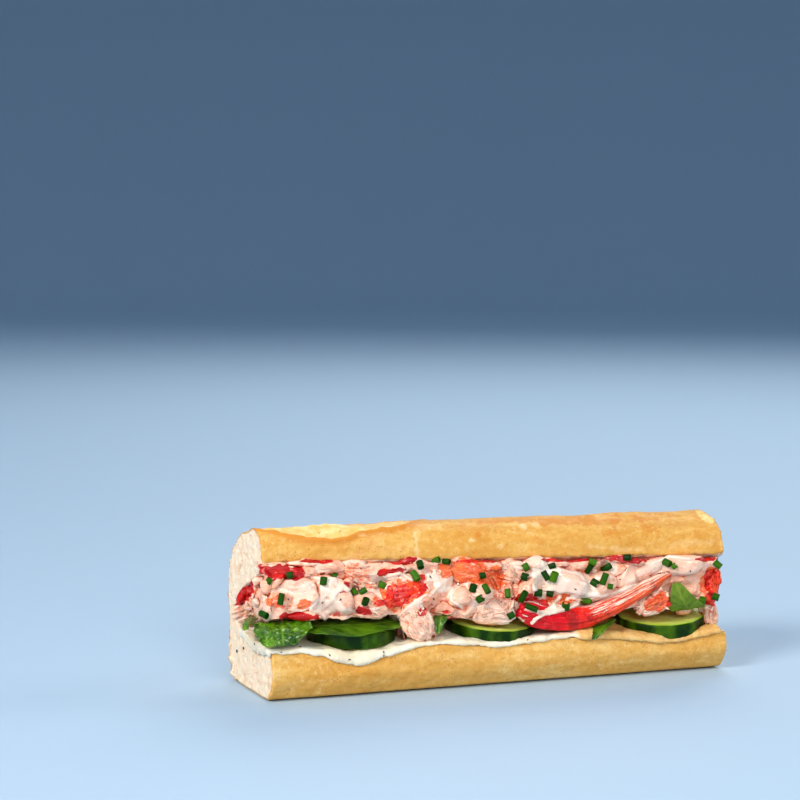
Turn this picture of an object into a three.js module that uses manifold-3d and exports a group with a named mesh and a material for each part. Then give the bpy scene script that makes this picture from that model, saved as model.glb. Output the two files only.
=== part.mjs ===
// A lobster roll: a length of baguette, slit along its front and hinged at its back, opened round a
// lobster salad that lies on leaves, cucumber slices and a layer of mayonnaise.
// Millimetres. +X runs along the loaf, -Y is the open front, +Z is up.
// The origin is under the middle of the roll, on the surface that it rests on.
import * as THREE from "three";
import { mergeVertices } from "three/addons/utils/BufferGeometryUtils.js";
import Module from "manifold-3d";

const wasm = await Module();
wasm.setup();

// ---------------------------------------------------------------- driving dimensions
const LOAF_LENGTH = 222; // along the front, from cut to cut
const LOAF_STATIONS = 30; // rings along the loaf
const CRUST_STEPS = 40; // edges round the crust in one ring
const CRUMB_STEPS = 12; // edges along the slit in one ring
const LEFT_CUT_SLANT = 0.06; // the left cut runs further out at the back, mm for each mm of depth
const RIGHT_CUT_SLANT = 0.05; // the right cut runs further out at the front
const GAP = 0.3; // between any two pieces
const FINEST = 0.03; // cuts leave no edge shorter than this

const SPREAD_THICK = 2.2; // mayonnaise on the floor of the slit
const SPREAD_LIFT = 0.5; // between it and the bread
const SPREAD_OVERHANG = 1.8; // how far it oozes past the left cut
const SPREAD_SAG = 4; // how far it sags down that cut
const SPREAD_SHORT = 3.5; // how far it stays inside the right cut
const SPREAD_ROWS = 4; // points of the slit's floor that it covers, from the lower lip inwards

const CUCUMBER_THICK = 6.5;
const CUCUMBER_SIDES = 36;
const ROOM_SIDES = 16; // of the hollow that a slice leaves in what it touches
const CUCUMBERS = [
  { x: -67.5, y: -10.4, radius: 20.6, front: 21.8, nod: 5, roll: 0 },
  { x: -0.2, y: -10.4, radius: 20.6, front: 21.2, nod: 6, roll: 3 },
  { x: 86, y: -10.1, radius: 21.4, front: 18.4, nod: 6.5, roll: -2.5 },
]; // front is the height of the rim's lower edge, nod and roll are in degrees

const LEAF_THICK = 0.7;
const CHIVE_LENGTH = 3.9;
const CHIVE_RADIUS = 1.35;
const CHIVE_SIDES = 5;
const CHIVE_COUNT = 42;
const CHIVE_SPACING = 5;
const CORE_RECESS = 2.4; // between the front of the salad and the front of its core
const MOUTH_ROWS = 7; // points of the slit that are its roof and its hinge

// Points of the loaf's section, [y, z], at the left cut and at the right one.
const CRUST_POINTS = [
  [[-30, 23.2], [-31, 19.6]], // lower lip
  [[-31.5, 13], [-32.3, 11.5]],
  [[-28.2, 4], [-28, 3.6]],
  [[-21, 0], [-20, 0]], // front of the flat base
  [[20, 0], [20, 0]], // back of the flat base
  [[26, 5], [26, 5]],
  [[28, 17], [28.5, 17]],
  [[29, 31], [29.5, 30]], // behind the hinge
  [[31, 46], [31, 43]],
  [[27.5, 58], [27, 56]],
  [[14, 70], [12, 68.5]],
  [[-3, 75.2], [-5, 73]], // crown
  [[-12.5, 73.9], [-17, 70.3]],
  [[-16.9, 68.8], [-25.5, 65]],
  [[-18, 61.8], [-28.5, 55.5]], // upper lip
];
const CRUMB_POINTS = [
  [[-18, 61.8], [-28.5, 55.5]], // upper lip
  [[-13, 55.5], [-22, 51.5]],
  [[-1, 50], [-6, 47.5]],
  [[14, 43], [13, 40.5]],
  [[23, 34], [23.2, 31.5]], // hinge
  [[17, 26.4], [17, 23]],
  [[-6, 22.6], [-6, 19]],
  [[-23, 22.3], [-24, 18.8]],
  [[-30, 23.2], [-31, 19.6]], // lower lip
];
// How far each cucumber presses the floor and the lower lip down.
const DENTS = [{ x: -69, depth: 3.6 }, { x: 0, depth: 2.2 }, { x: 81, depth: 3.7 }];
const DENT_SPREAD = 20;
// The baker's slashes: from and to are [x, y] on the crown.
const SLASHES = [
  { from: [-118, 3], to: [-28, -5], width: 17, depth: 2.6 },
  { from: [34, -3], to: [118, 5], width: 13, depth: 1.8 },
];

// ---------------------------------------------------------------- colours
const finish = (color, roughness) => new THREE.MeshStandardMaterial({ color, roughness, metalness: 0 });
const CRUST = finish(0xe0ac58, 0.6);
const MAYONNAISE = finish(0xf3e8d2, 0.35);
const CUCUMBER = finish(0x3a5f16, 0.35);
const LEAF = finish(0x3f7a1c, 0.4);
const LOBSTER = finish(0xf0c0a8, 0.4);
const CLAW = finish(0xc8261c, 0.35);

// ---------------------------------------------------------------- helpers
const mix = THREE.MathUtils.lerp;
const step = THREE.MathUtils.smoothstep;
const bell = (distance, spread) => Math.exp(-((distance / spread) ** 2));

// The same sequence of numbers from 0 to 1 for the same seed.
function dice(seed) {
  let state = seed >>> 0;
  return () => {
    state = (Math.imul(state, 1664525) + 1013904223) >>> 0;
    return state / 4294967296;
  };
}

// The geometry with its seams closed and without the flat triangles at its poles.
function welded(geometry) {
  const bare = geometry.clone();
  bare.deleteAttribute("normal");
  bare.deleteAttribute("uv");
  const merged = mergeVertices(bare, 1e-4);
  const corners = merged.index.array;
  const kept = [];
  for (let i = 0; i < corners.length; i += 3) {
    const [a, b, c] = corners.slice(i, i + 3);
    if (a !== b && b !== c && c !== a) kept.push(a, b, c);
  }
  merged.setIndex(kept);
  return merged;
}

function solidOf(geometry) {
  const { attributes, index } = welded(geometry);
  const [vertProperties, triVerts] = [attributes.position.array, new Uint32Array(index.array)];
  return new wasm.Manifold(new wasm.Mesh({ numProp: 3, vertProperties, triVerts }));
}

function geometryOf(solid) {
  const { vertProperties, triVerts } = solid.getMesh();
  const geometry = new THREE.BufferGeometry();
  geometry.setAttribute("position", new THREE.BufferAttribute(vertProperties, 3));
  geometry.setIndex(new THREE.BufferAttribute(triVerts, 1));
  return geometry;
}

// The largest body of a solid that a cut may have left in several, without the slivers along the cut.
function largest(solid) {
  const bodies = solid.decompose().sort((a, b) => b.volume() - a.volume());
  return bodies[0].asOriginal().simplify(FINEST);
}

// Triangles that close a ring: of any outline, and of one that is a strip folded at its middle.
function outlineCap(ring) {
  return THREE.ShapeUtils.triangulateShape(ring.map((p) => new THREE.Vector2(p.y, p.z)), []);
}
function stripCap(ring) {
  const faces = [];
  for (let k = 0; k + 1 < ring.length / 2; k++) {
    const [c, d] = [ring.length - 2 - k, ring.length - 1 - k];
    faces.push([k, k + 1, c], [k, c, d]);
  }
  return faces;
}

// A closed skin over rings of equal length. Seen from the last ring, each runs anticlockwise.
function loft(rings, cap = outlineCap) {
  const count = rings[0].length;
  const index = [];
  for (let i = 0; i + 1 < rings.length; i++) {
    for (let j = 0; j < count; j++) {
      const [a, b] = [i * count + j, i * count + ((j + 1) % count)];
      index.push(a, b, a + count, b, b + count, a + count);
    }
  }
  const last = (rings.length - 1) * count;
  for (const [a, b, c] of cap(rings[0])) index.push(a, c, b);
  for (const [a, b, c] of cap(rings.at(-1))) index.push(last + a, last + b, last + c);
  const geometry = new THREE.BufferGeometry().setFromPoints(rings.flat());
  geometry.setIndex(index);
  return geometry;
}

// A ring of [y, z] points pushed out along its own normals.
function widened(ring, by) {
  return ring.map((p, i) => {
    const before = ring.at(i - 1);
    const after = ring[(i + 1) % ring.length];
    const heading = after.clone().sub(before).normalize();
    return new THREE.Vector2(p.x + heading.y * by, p.y - heading.x * by);
  });
}

// ---------------------------------------------------------------- the loaf
const dent = (x) => DENTS.reduce((sum, d) => sum + d.depth * bell(x - d.x, DENT_SPREAD), 0);

// How high a point of the crown stands over the plain loaf, where a slash has opened.
function slashRelief(x, y) {
  let rise = 0;
  for (const { from, to, width, depth } of SLASHES) {
    const t = (x - from[0]) / (to[0] - from[0]);
    if (t < 0 || t > 1) continue;
    const open = Math.sin(Math.PI * t) ** 0.5;
    const across = (y - mix(from[1], to[1], t)) / (width / 2);
    const ear = 0.5 * depth * bell(across + 1.15, 0.3);
    rise += open * (ear - (Math.abs(across) < 1 ? depth * (1 - across ** 2) : 0));
  }
  return rise;
}

// The gentle swell and sag of a hand-shaped loaf, along the crust.
const swell = (x, angle) => 0.55 * Math.sin(x / 17 + 2 * angle) + 0.35 * Math.sin(x / 7.3 - 3 * angle);

const curveOf = (table, u) => new THREE.SplineCurve(
  table.map(([left, right]) => new THREE.Vector2(mix(left[0], right[0], u), mix(left[1], right[1], u))),
);

// The loaf's outline at u, 0 at the left cut and 1 at the right one: crust first, then the slit.
function sectionAt(u) {
  const x = mix(-LOAF_LENGTH / 2, LOAF_LENGTH / 2, u);
  const crust = curveOf(CRUST_POINTS, u).getPoints(CRUST_STEPS).map((p, i) => {
    const free = step(p.y, 2, 9) * (0.4 + 0.6 * step(i, 1, 4)) * (0.4 + 0.6 * step(CRUST_STEPS - i, 1, 4));
    const out = swell(x, (i / CRUST_STEPS) * Math.PI) * free;
    const pressed = dent(x) * step(-p.x, 5, 20) * step(p.y, 5, 20) * (1 - step(p.y, 30, 40));
    const crown = p.y > 60 ? slashRelief(x, p.x) : 0;
    const z = p.y + out * 0.5 - pressed + crown;
    return new THREE.Vector2(p.x + Math.sign(p.x) * out * 0.5, Math.max(0, z));
  });
  const slit = curveOf(CRUMB_POINTS, u).getPoints(CRUMB_STEPS).map((p) => {
    const floor = 1 - step(p.y, 27, 34);
    return new THREE.Vector2(p.x, p.y - dent(x) * floor * step(-p.x, -18, 8));
  });
  slit[0].copy(crust.at(-1));
  slit.at(-1).copy(crust[0]);
  return [...crust, ...slit.slice(1, -1)];
}

// Where a point of the section at u and depth y lies along the loaf, with both cuts a little slanted.
function along(u, y) {
  const left = -LOAF_LENGTH / 2 - LEFT_CUT_SLANT * (y + 21);
  const right = LOAF_LENGTH / 2 - RIGHT_CUT_SLANT * (y + 21);
  return mix(left, right, u);
}

function loafGeometry() {
  const rings = [];
  for (let i = 0; i <= LOAF_STATIONS; i++) {
    const u = i / LOAF_STATIONS;
    rings.push(sectionAt(u).map((p) => new THREE.Vector3(along(u, p.x), p.x, p.y)));
  }
  return loft(rings);
}

// ---------------------------------------------------------------- the mayonnaise
// How far the mayonnaise hangs down over the crust: mostly below the first cucumber.
const hang = (x) => 0.8 + 4.2 * bell(x + 72, 18) + 0.9 * bell(x, 17) + 1.2 * bell(x + 108, 8);

// The point that lies a distance further round a ring from its first one.
function walk(ring, distance) {
  let left = distance;
  for (let i = 0; ; i++) {
    const stride = ring[i].distanceTo(ring[i + 1]);
    if (left < stride) return ring[i].clone().lerp(ring[i + 1], left / stride);
    left -= stride;
  }
}

// It follows the loaf's own rings: along the floor of the slit, round the lower lip and down the crust.
// At the left cut it bends over the edge of the crumb and sags down its face; at the right it stops short.
function spreadGeometry(grow = 0) {
  const rings = [];
  for (let i = -2; i <= LOAF_STATIONS; i++) {
    const past = Math.max(0, -i);
    const u = Math.max(0, i / LOAF_STATIONS);
    const end = i === LOAF_STATIONS ? grow - SPREAD_SHORT : 0;
    const section = sectionAt(u);
    const x = along(u, -21);
    const thick = SPREAD_THICK + 0.35 * Math.sin(x / 5) + 0.25 * Math.sin(x / 2.7 + 1);
    const drop = (past ? 0.6 : 1) * hang(x) + grow;
    const low = widened(section, SPREAD_LIFT - grow);
    const high = widened(section, SPREAD_LIFT + thick + grow);
    const drip = widened(section, SPREAD_LIFT + 0.55 * thick + grow);
    const under = [walk(low, drop), walk(low, drop / 2), low[0], ...low.slice(-SPREAD_ROWS).reverse()];
    const over = [...high.slice(-SPREAD_ROWS), drip[0], walk(drip, drop / 2), walk(drip, drop - 0.3)];
    const placed = (points, out) => points.map((p, k) => {
      const sag = past === 2 ? SPREAD_SAG * (0.75 + 0.25 * Math.sin(1.9 * k)) + grow : 0;
      return new THREE.Vector3(along(u, p.x) + end - (past ? out : 0), p.x, p.y - sag);
    });
    rings.push([...placed(under, SPREAD_LIFT - grow), ...placed(over, SPREAD_OVERHANG + grow)]);
  }
  return loft(rings, stripCap);
}

// ---------------------------------------------------------------- the cucumber slices
function cucumberGeometry({ x, y, radius, front, nod, roll }, sides = CUCUMBER_SIDES, grow = 0) {
  const round = grow ? Math.cos(Math.PI / sides) : 1; // a grown slice clears the round one with few sides
  const [r, h] = [(radius + grow) / round, CUCUMBER_THICK / 2 + grow];
  const profile = [[0, -h], [r - 0.7, -h], [r, -h + 0.8], [r, h - 0.8], [r - 0.7, h], [0, h]];
  const slice = welded(new THREE.LatheGeometry(profile.map(([a, b]) => new THREE.Vector2(a, b)), sides));
  const tilt = THREE.MathUtils.degToRad(nod);
  slice.rotateX(Math.PI / 2);
  slice.rotateY(THREE.MathUtils.degToRad(roll));
  slice.rotateX(tilt);
  slice.translate(x, y, front + radius * Math.sin(tilt) + (CUCUMBER_THICK / 2) * Math.cos(tilt));
  return slice;
}

// ---------------------------------------------------------------- the leaves
// A leaf follows its spine. Both faces are the same grid, so that they split into triangles alike.
function leafGeometry({ spine, across, width, cup, ripple, ripples, rows, columns }, grow = 0) {
  const curve = new THREE.CatmullRomCurve3(spine.map((p) => new THREE.Vector3(...p)));
  const side = new THREE.Vector3(...across).normalize();
  const faces = [[], []];
  for (let i = 0; i <= rows; i++) {
    const s = i / rows;
    const tangent = curve.getTangent(s);
    const up = new THREE.Vector3().crossVectors(tangent, side).normalize();
    const half = (width / 2) * Math.sin(Math.PI * mix(0.12, 0.93, s ** 0.8)) + grow;
    for (let j = 0; j <= columns; j++) {
      const t = (2 * j) / columns - 1;
      const lift = cup * t * t + ripple * Math.abs(t) * Math.sin(ripples * Math.PI * s + 2 * t);
      const centre = curve.getPoint(s).addScaledVector(side, t * half).addScaledVector(up, lift);
      if (i === 0) centre.addScaledVector(tangent, -grow);
      if (i === rows) centre.addScaledVector(tangent, grow);
      faces[0].push(centre.clone().addScaledVector(up, LEAF_THICK / 2 + grow));
      faces[1].push(centre.clone().addScaledVector(up, -LEAF_THICK / 2 - grow));
    }
  }
  const size = columns + 1;
  const total = faces[0].length;
  const index = [];
  const quad = (a, b, c, d) => index.push(a, b, c, a, c, d);
  for (let i = 0; i < rows; i++) {
    for (let j = 0; j < columns; j++) {
      const [a, b] = [i * size + j, i * size + j + 1];
      index.push(a, a + size, b, b, a + size, b + size);
      index.push(total + a, total + b, total + a + size, total + b, total + b + size, total + a + size);
    }
    const [first, end] = [i * size, i * size + columns];
    quad(first, total + first, total + first + size, first + size);
    quad(end, end + size, total + end + size, total + end);
  }
  for (let j = 0; j < columns; j++) {
    const far = rows * size + j;
    quad(j + 1, total + j + 1, total + j, j);
    quad(far, total + far, total + far + 1, far + 1);
  }
  const geometry = new THREE.BufferGeometry().setFromPoints([...faces[0], ...faces[1]]);
  geometry.setIndex(index);
  return geometry;
}

const LEAVES = {
  leaf_over_cucumber: {
    spine: [[-94, -21, 32.2], [-79, -23, 31.8], [-59, -22.5, 31.6], [-38, -20, 31.6]],
    across: [0, -1, -0.2], width: 22, cup: 0.6, ripple: 0.5, ripples: 4, rows: 10, columns: 4,
  },
  lettuce_frill: {
    spine: [[-101, -14, 34.2], [-103.5, -23, 34.6], [-105.5, -30.5, 32.8], [-106, -33.5, 26.5]],
    across: [1, 0.1, 0.02], width: 25, cup: -0.5, ripple: 1.2, ripples: 5, rows: 12, columns: 6,
  },
  leaf_at_left_cut: {
    spine: [[-109.5, -4, 34], [-115.5, -9, 34.5], [-119, -14, 31.5]],
    across: [0.25, 1, 0], width: 11, cup: 0.5, ripple: 0.5, ripples: 3, rows: 6, columns: 4,
  },
  leaf_between: {
    spine: [[-27, -16, 33], [-29, -26, 34], [-32, -31.5, 32.5], [-33.5, -32.8, 27]],
    across: [1, 0, 0.15], width: 8, cup: 0.3, ripple: 0.4, ripples: 3, rows: 8, columns: 2,
  },
  leaf_under_cucumber: {
    spine: [[53, -24, 25.5], [50, -29, 25.4], [46.5, -32.5, 23.5], [42.5, -34, 19.8]],
    across: [1, -0.3, 0.4], width: 11, cup: 0.3, ripple: 0.3, ripples: 3, rows: 7, columns: 2,
  },
  leaf_upright: {
    spine: [[92.5, -22.5, 30.6], [92, -30.3, 30.2], [88, -33, 34.5], [84.5, -32.2, 43.4]],
    across: [1, -0.15, 0.12], width: 17, cup: 0.3, ripple: 0.3, ripples: 2, rows: 9, columns: 4,
  },
};

// ---------------------------------------------------------------- the claw meat
// A long curved piece with a blunt root and a thin tip. Each stop is [x, z, height of the piece].
const CLAW_STOPS = [
  [7, 35, 7],
  [14, 32.5, 12],
  [26, 30, 12.5],
  [39, 29.5, 10.5],
  [53, 33.5, 9],
  [68, 40, 7],
  [83, 47.6, 2.6],
];
const CLAW_DEPTH = -28.3;

function clawGeometry(grow = 0) {
  const path = new THREE.CatmullRomCurve3(CLAW_STOPS.map(([x, z]) => new THREE.Vector3(x, CLAW_DEPTH, z)));
  const sizes = new THREE.SplineCurve(CLAW_STOPS.map(([x, , size]) => new THREE.Vector2(x, size)));
  const [rows, sides] = [16, 10];
  const rings = [];
  for (let i = 0; i <= rows; i++) {
    const s = i / rows;
    const centre = path.getPoint(s);
    const tangent = path.getTangent(s);
    const up = new THREE.Vector3(-tangent.z, 0, tangent.x);
    const half = sizes.getPoint(s).y / 2 + grow;
    const deep = Math.min(half, 3 + grow);
    const slide = i === 0 ? -grow : i === rows ? grow : 0;
    const ring = [];
    for (let j = 0; j < sides; j++) {
      const a = (2 * Math.PI * j) / sides;
      const ridge = 1 + 0.08 * Math.sin(5 * a + 9 * s);
      ring.push(centre.clone().addScaledVector(tangent, slide)
        .add(new THREE.Vector3(0, Math.cos(a) * deep * ridge, 0))
        .addScaledVector(up, Math.sin(a) * half * ridge));
    }
    rings.push(ring);
  }
  return loft(rings);
}

// ---------------------------------------------------------------- the lobster salad
// The front of the salad slopes back from the lower lip to the upper one.
function frontAt(x, z) {
  const u = THREE.MathUtils.clamp(x / LOAF_LENGTH + 0.5, 0, 1);
  const rise = THREE.MathUtils.clamp((z - 27) / (mix(61, 55, u) - 27), 0, 1);
  return mix(-29.5, mix(-20.5, -28, u), rise) - 1.5 * Math.sin(Math.PI * rise);
}

// Height of the salad's underside at the front: over the leaves and the slices, and lower between them.
const UNDERSIDE = [
  [-LOAF_LENGTH / 2 - 1, 36], [-92, 36], [-90, 34.4], [-50, 34.4], [-47, 24.5], [-34, 24.5], [-30, 31],
  [20, 30.5], [23, 26.5], [56, 26.5], [62, 30.5], [103, 30.2], [105, 25.5], [LOAF_LENGTH / 2 - 2, 25.5],
];

// The room between the two halves, above the leaves and the slices. Its front is open, or it stops
// behind the front of the salad by a recess: then it is the core that the pieces are fused to.
function mouthGeometry(recess = null) {
  const rings = UNDERSIDE.map(([station, low]) => {
    const x = station * (recess === null ? 1 : 1 - (2 * recess) / LOAF_LENGTH);
    const u = x / LOAF_LENGTH + 0.5;
    const slit = curveOf(CRUMB_POINTS, u).getPoints(CRUMB_STEPS).slice(0, MOUTH_ROWS);
    const lifted = widened([new THREE.Vector2(-60, slit[0].y), ...slit, new THREE.Vector2(20, 20)], GAP);
    const roof = lifted.slice(1, -1).map((p) => [p.x, p.y]);
    const back = mix(31.5, 29, u);
    const floor = [[19, back], [2, Math.max(low, back)], [-12, low]];
    const open = (z) => (recess === null ? -45 : frontAt(x, z) + recess);
    if (recess !== null) roof[0][0] = Math.max(roof[0][0], open(roof[0][1]));
    const front = [[open(low), low], [open(42), 42], [open(roof[0][1]) - 0.4, roof[0][1]]];
    const ring = [...roof, ...floor, ...front].reverse();
    return ring.map(([y, z]) => new THREE.Vector3(along(u, y), y, z));
  });
  return loft(rings);
}

// A torn lump of meat: size is [length, depth, height], turn is in degrees in the plane of the front.
function lumpGeometry(size, turn, roll, detail) {
  const lump = new THREE.IcosahedronGeometry(1, detail);
  const position = lump.attributes.position;
  for (let i = 0; i < position.count; i++) {
    const p = new THREE.Vector3().fromBufferAttribute(position, i);
    const wave = 0.13 * Math.sin(3.1 * p.x + 7 * roll) + 0.12 * Math.sin(4.3 * p.y + 2.6 * p.z + 11 * roll);
    const boxy = 0.86 + 0.2 * (Math.abs(p.x) ** 3 + Math.abs(p.y) ** 3 + Math.abs(p.z) ** 3);
    position.setXYZ(i, ...p.multiplyScalar((1 + wave) / boxy).toArray());
  }
  lump.scale(size[0] / 2, size[1] / 2, size[2] / 2);
  lump.rotateX(roll * 1.2 - 0.6);
  lump.rotateY(-THREE.MathUtils.degToRad(turn));
  return lump;
}

// The large pieces that can be told apart: [x, z, length, height, turn].
const LARGE_PIECES = [
  [-95, 56, 21, 8, 14],
  [-104, 43, 18, 15, 35],
  [-84, 44, 26, 16, -8],
  [-62, 55, 25, 9, 5],
  [-60, 40, 22, 13, 20],
  [-38, 56, 22, 8, 3],
  [-41, 44, 31, 15, 18],
  [-40, 31, 19, 13, -58],
  [-14, 41, 22, 15, -15],
  [-10, 54, 24, 12, 0],
  [10, 40, 18, 13, 25],
  [14, 52, 26, 11, -6],
  [36, 44, 28, 15, -12],
  [42, 54, 22, 9, 8],
  [60, 46, 22, 14, 30],
  [66, 54, 20, 7, -10],
  [84, 49, 27, 13, 16],
  [75, 37, 16, 11, 28],
  [98, 46, 16, 14, -30],
  [103, 35, 11, 11, 70],
];
const FILLER_PITCH = 15; // between the smaller pieces along the front
const FILLER_ROWS = [0.16, 0.5, 0.84]; // shares of the height between the leaves and the upper lip

function pieces() {
  const lumps = [];
  const add = (x, y, z, size, turn, roll, detail = 0) => {
    lumps.push(lumpGeometry(size, turn, roll, detail).translate(x, y, z));
  };
  LARGE_PIECES.forEach(([x, z, length, height, turn], i) => {
    const depth = 0.55 * height + 4;
    const size = [1.15 * length, depth, 1.2 * height];
    add(x, frontAt(x, z) + depth / 2 - 1.6, z, size, turn, (i * 0.37) % 1, 1);
  });
  const draw = dice(41);
  for (const share of FILLER_ROWS) {
    for (let x = -LOAF_LENGTH / 2 + 6; x < LOAF_LENGTH / 2 - 2; x += FILLER_PITCH) {
      const at = x + (draw() - 0.5) * 8;
      const z = mix(33, mix(60, 54, at / LOAF_LENGTH + 0.5), share) + (draw() - 0.5) * 3;
      const size = [12 + 7 * draw(), 9 + 3 * draw(), 8 + 4 * draw()];
      add(at, frontAt(at, z) + 4.2, z, size, 120 * (draw() - 0.5), draw());
    }
  }
  // The two cuts show the wedge of salad from lip to hinge.
  for (const u of [0, 1]) {
    for (const [y, z] of [[-19, 51], [-20, 41], [-9, 44], [2, 40], [11, 36.5]]) {
      const x = along(u, y) + (u ? -5.4 : 3.4);
      const size = [8.8, 13 + 2 * draw(), 9 + 2 * draw()];
      add(x, y, z - 3 * u, size, 60 * draw() - 30, draw());
    }
  }
  return lumps;
}

// Cut chives lie all over the front, thicker towards the middle and the right.
function chives(salad) {
  const target = new THREE.Mesh(geometryOf(salad), new THREE.MeshBasicMaterial({ side: THREE.DoubleSide }));
  const draw = dice(7);
  const placed = [];
  const found = [];
  for (let tries = 0; placed.length < CHIVE_COUNT && tries < 900; tries++) {
    const x = mix(-106, 106, draw() ** 0.8);
    const z = mix(33, mix(58, 52, x / LOAF_LENGTH + 0.5), draw());
    const turn = draw() * Math.PI;
    const lean = draw();
    if (placed.some((p) => Math.hypot(p[0] - x, p[1] - z) < CHIVE_SPACING)) continue;
    const ray = new THREE.Raycaster(new THREE.Vector3(x, -90, z), new THREE.Vector3(0, 1, 0));
    const hit = ray.intersectObject(target)[0];
    if (!hit || hit.point.y > -14) continue;
    placed.push([x, z]);
    const length = CHIVE_LENGTH * (0.8 + 0.4 * lean);
    const chive = new THREE.CylinderGeometry(CHIVE_RADIUS, CHIVE_RADIUS, length, CHIVE_SIDES);
    const out = hit.face.normal;
    const flat = new THREE.Vector3(Math.cos(turn), 0, Math.sin(turn)).projectOnPlane(out);
    const axis = flat.addScaledVector(out, 0.5 * lean).normalize();
    chive.applyQuaternion(new THREE.Quaternion().setFromUnitVectors(new THREE.Vector3(0, 1, 0), axis));
    const centre = hit.point.clone().addScaledVector(out, 0.35);
    found.push(chive.translate(centre.x, centre.y, centre.z));
  }
  return found;
}

// ---------------------------------------------------------------- putting it together
const loaf = solidOf(loafGeometry());
const cucumbers = CUCUMBERS.map((c) => solidOf(cucumberGeometry(c)));
const roomy = CUCUMBERS.map((c) => solidOf(cucumberGeometry(c, ROOM_SIDES, GAP)));
const cucumberRoom = wasm.Manifold.union(roomy);
const spread = largest(solidOf(spreadGeometry()).subtract(cucumberRoom));
const spreadRoom = solidOf(spreadGeometry(GAP));

// Each leaf gives way to what lies under it and to the leaves before it.
const leaves = {};
let leafRoom = cucumberRoom.add(spreadRoom);
for (const [name, shape] of Object.entries(LEAVES)) {
  leaves[name] = largest(solidOf(leafGeometry(shape)).subtract(leafRoom));
  leafRoom = leafRoom.add(solidOf(leafGeometry(shape, GAP)));
}
const claw = largest(solidOf(clawGeometry()).subtract(leafRoom));
const saladRoom = leafRoom.add(solidOf(clawGeometry(GAP)));
const heap = wasm.Manifold.union([mouthGeometry(CORE_RECESS), ...pieces()].map(solidOf));
const mouth = solidOf(mouthGeometry());
const bare = largest(heap.intersect(mouth).subtract(saladRoom));
const dressed = wasm.Manifold.union([bare, ...chives(bare).map(solidOf)]);
const salad = largest(dressed.subtract(saladRoom));

const roll = new THREE.Group();
const contents = new THREE.Group();
roll.add(contents);
function place(name, solid, material) {
  const mesh = new THREE.Mesh(geometryOf(solid), material);
  mesh.name = name;
  contents.add(mesh);
}
place("bread", loaf, CRUST);
place("spread", spread, MAYONNAISE);
cucumbers.forEach((solid, i) => place(`cucumber_${i + 1}`, solid, CUCUMBER));
Object.entries(leaves).forEach(([name, solid]) => place(name, solid, LEAF));
place("claw_meat", claw, CLAW);
place("lobster_salad", salad, LOBSTER);

// The origin goes under the middle of the whole roll.
const box = new THREE.Box3().setFromObject(contents);
const middle = box.getCenter(new THREE.Vector3());
contents.position.set(-middle.x, -middle.y, -box.min.z);

export default roll;
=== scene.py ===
# %% [markdown]
# # A lobster roll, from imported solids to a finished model
#
# The roll is a length of baguette, slit along its front and opened round a lobster salad that lies on
# leaves, cucumber slices and mayonnaise. The solids from the drawing program hold every main shape at
# its true size. Here each of them gets the surface that the real food has: baked crust and torn crumb,
# wet skin, veined leaves, flaked meat under a thick dressing.
#
# The first cell loads the solids. They stay where they are, and what replaces one of them is made from
# a copy of it, or in the same place, so nothing has to be fitted afterwards.

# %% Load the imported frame
import contextlib
import math
import random

import bmesh
import bpy
import numpy as np
from mathutils import Matrix, Vector, noise
from mathutils.bvhtree import BVHTree
from mathutils.kdtree import KDTree


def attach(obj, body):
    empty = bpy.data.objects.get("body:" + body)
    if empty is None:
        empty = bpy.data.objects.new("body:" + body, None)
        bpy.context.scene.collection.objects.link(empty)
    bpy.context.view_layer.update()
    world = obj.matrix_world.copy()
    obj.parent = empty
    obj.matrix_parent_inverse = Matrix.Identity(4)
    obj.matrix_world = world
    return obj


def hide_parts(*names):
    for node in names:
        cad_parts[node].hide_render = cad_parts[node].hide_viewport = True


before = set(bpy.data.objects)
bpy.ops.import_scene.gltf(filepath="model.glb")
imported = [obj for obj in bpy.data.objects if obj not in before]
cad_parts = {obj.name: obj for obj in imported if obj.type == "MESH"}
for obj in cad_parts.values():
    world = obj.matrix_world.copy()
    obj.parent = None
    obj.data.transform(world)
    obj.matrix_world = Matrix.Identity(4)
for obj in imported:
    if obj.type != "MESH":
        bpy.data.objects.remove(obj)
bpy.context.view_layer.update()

MM = 0.001

# %% [markdown]
# ## The camera
#
# A long lens from a metre away keeps the two cuts of the loaf nearly parallel, as in a food picture.
# The camera looks a little down at the open front and sees the left cut. Its place and its turn are
# given as plain numbers, so it needs no target object, no shift and no blur.

# %% Camera
PICTURE_SIDE = 800
LENS_PIXELS = 2300  # the focal length, in pixels of the picture
EYE = Vector((-376.5, -989.2, 229.8)) * MM
PAN, TILT = -18.94, 5.45  # degrees: less than 0 is a turn to the right, and the tilt is down
SENSOR = 36  # mm
FRONT_MIDDLE = Vector((0, -28, 40)) * MM  # the middle of the roll's open front

camera_data = bpy.data.cameras.new("camera")
camera_data.sensor_width = SENSOR
camera_data.lens = LENS_PIXELS * SENSOR / PICTURE_SIDE
camera = bpy.data.objects.new("camera", camera_data)
bpy.context.scene.collection.objects.link(camera)
camera.location = EYE
camera.rotation_euler = (math.radians(90 - TILT), 0, math.radians(PAN))
bpy.context.scene.camera = camera
bpy.context.view_layer.update()
TURN = camera.matrix_world.to_3x3()


def sight_line(u, v):
    """Direction from the eye through a point of the picture."""
    middle = PICTURE_SIDE / 2
    return (TURN @ Vector((u - middle, middle - v, -LENS_PIXELS))).normalized()


def picture_places(points):
    """Where points, one a row, fall in the picture."""
    local = (np.asarray(points) - np.array(EYE)) @ np.array(TURN)
    middle = PICTURE_SIDE / 2
    across = middle + LENS_PIXELS * local[:, 0] / -local[:, 2]
    down = middle - LENS_PIXELS * local[:, 1] / -local[:, 2]
    return np.stack([across, down], axis=1)


PIXEL = (FRONT_MIDDLE - EYE).length / LENS_PIXELS
print("lens", round(camera_data.lens, 1), "mm; one pixel is", round(PIXEL / MM, 3), "mm at the roll")

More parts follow.
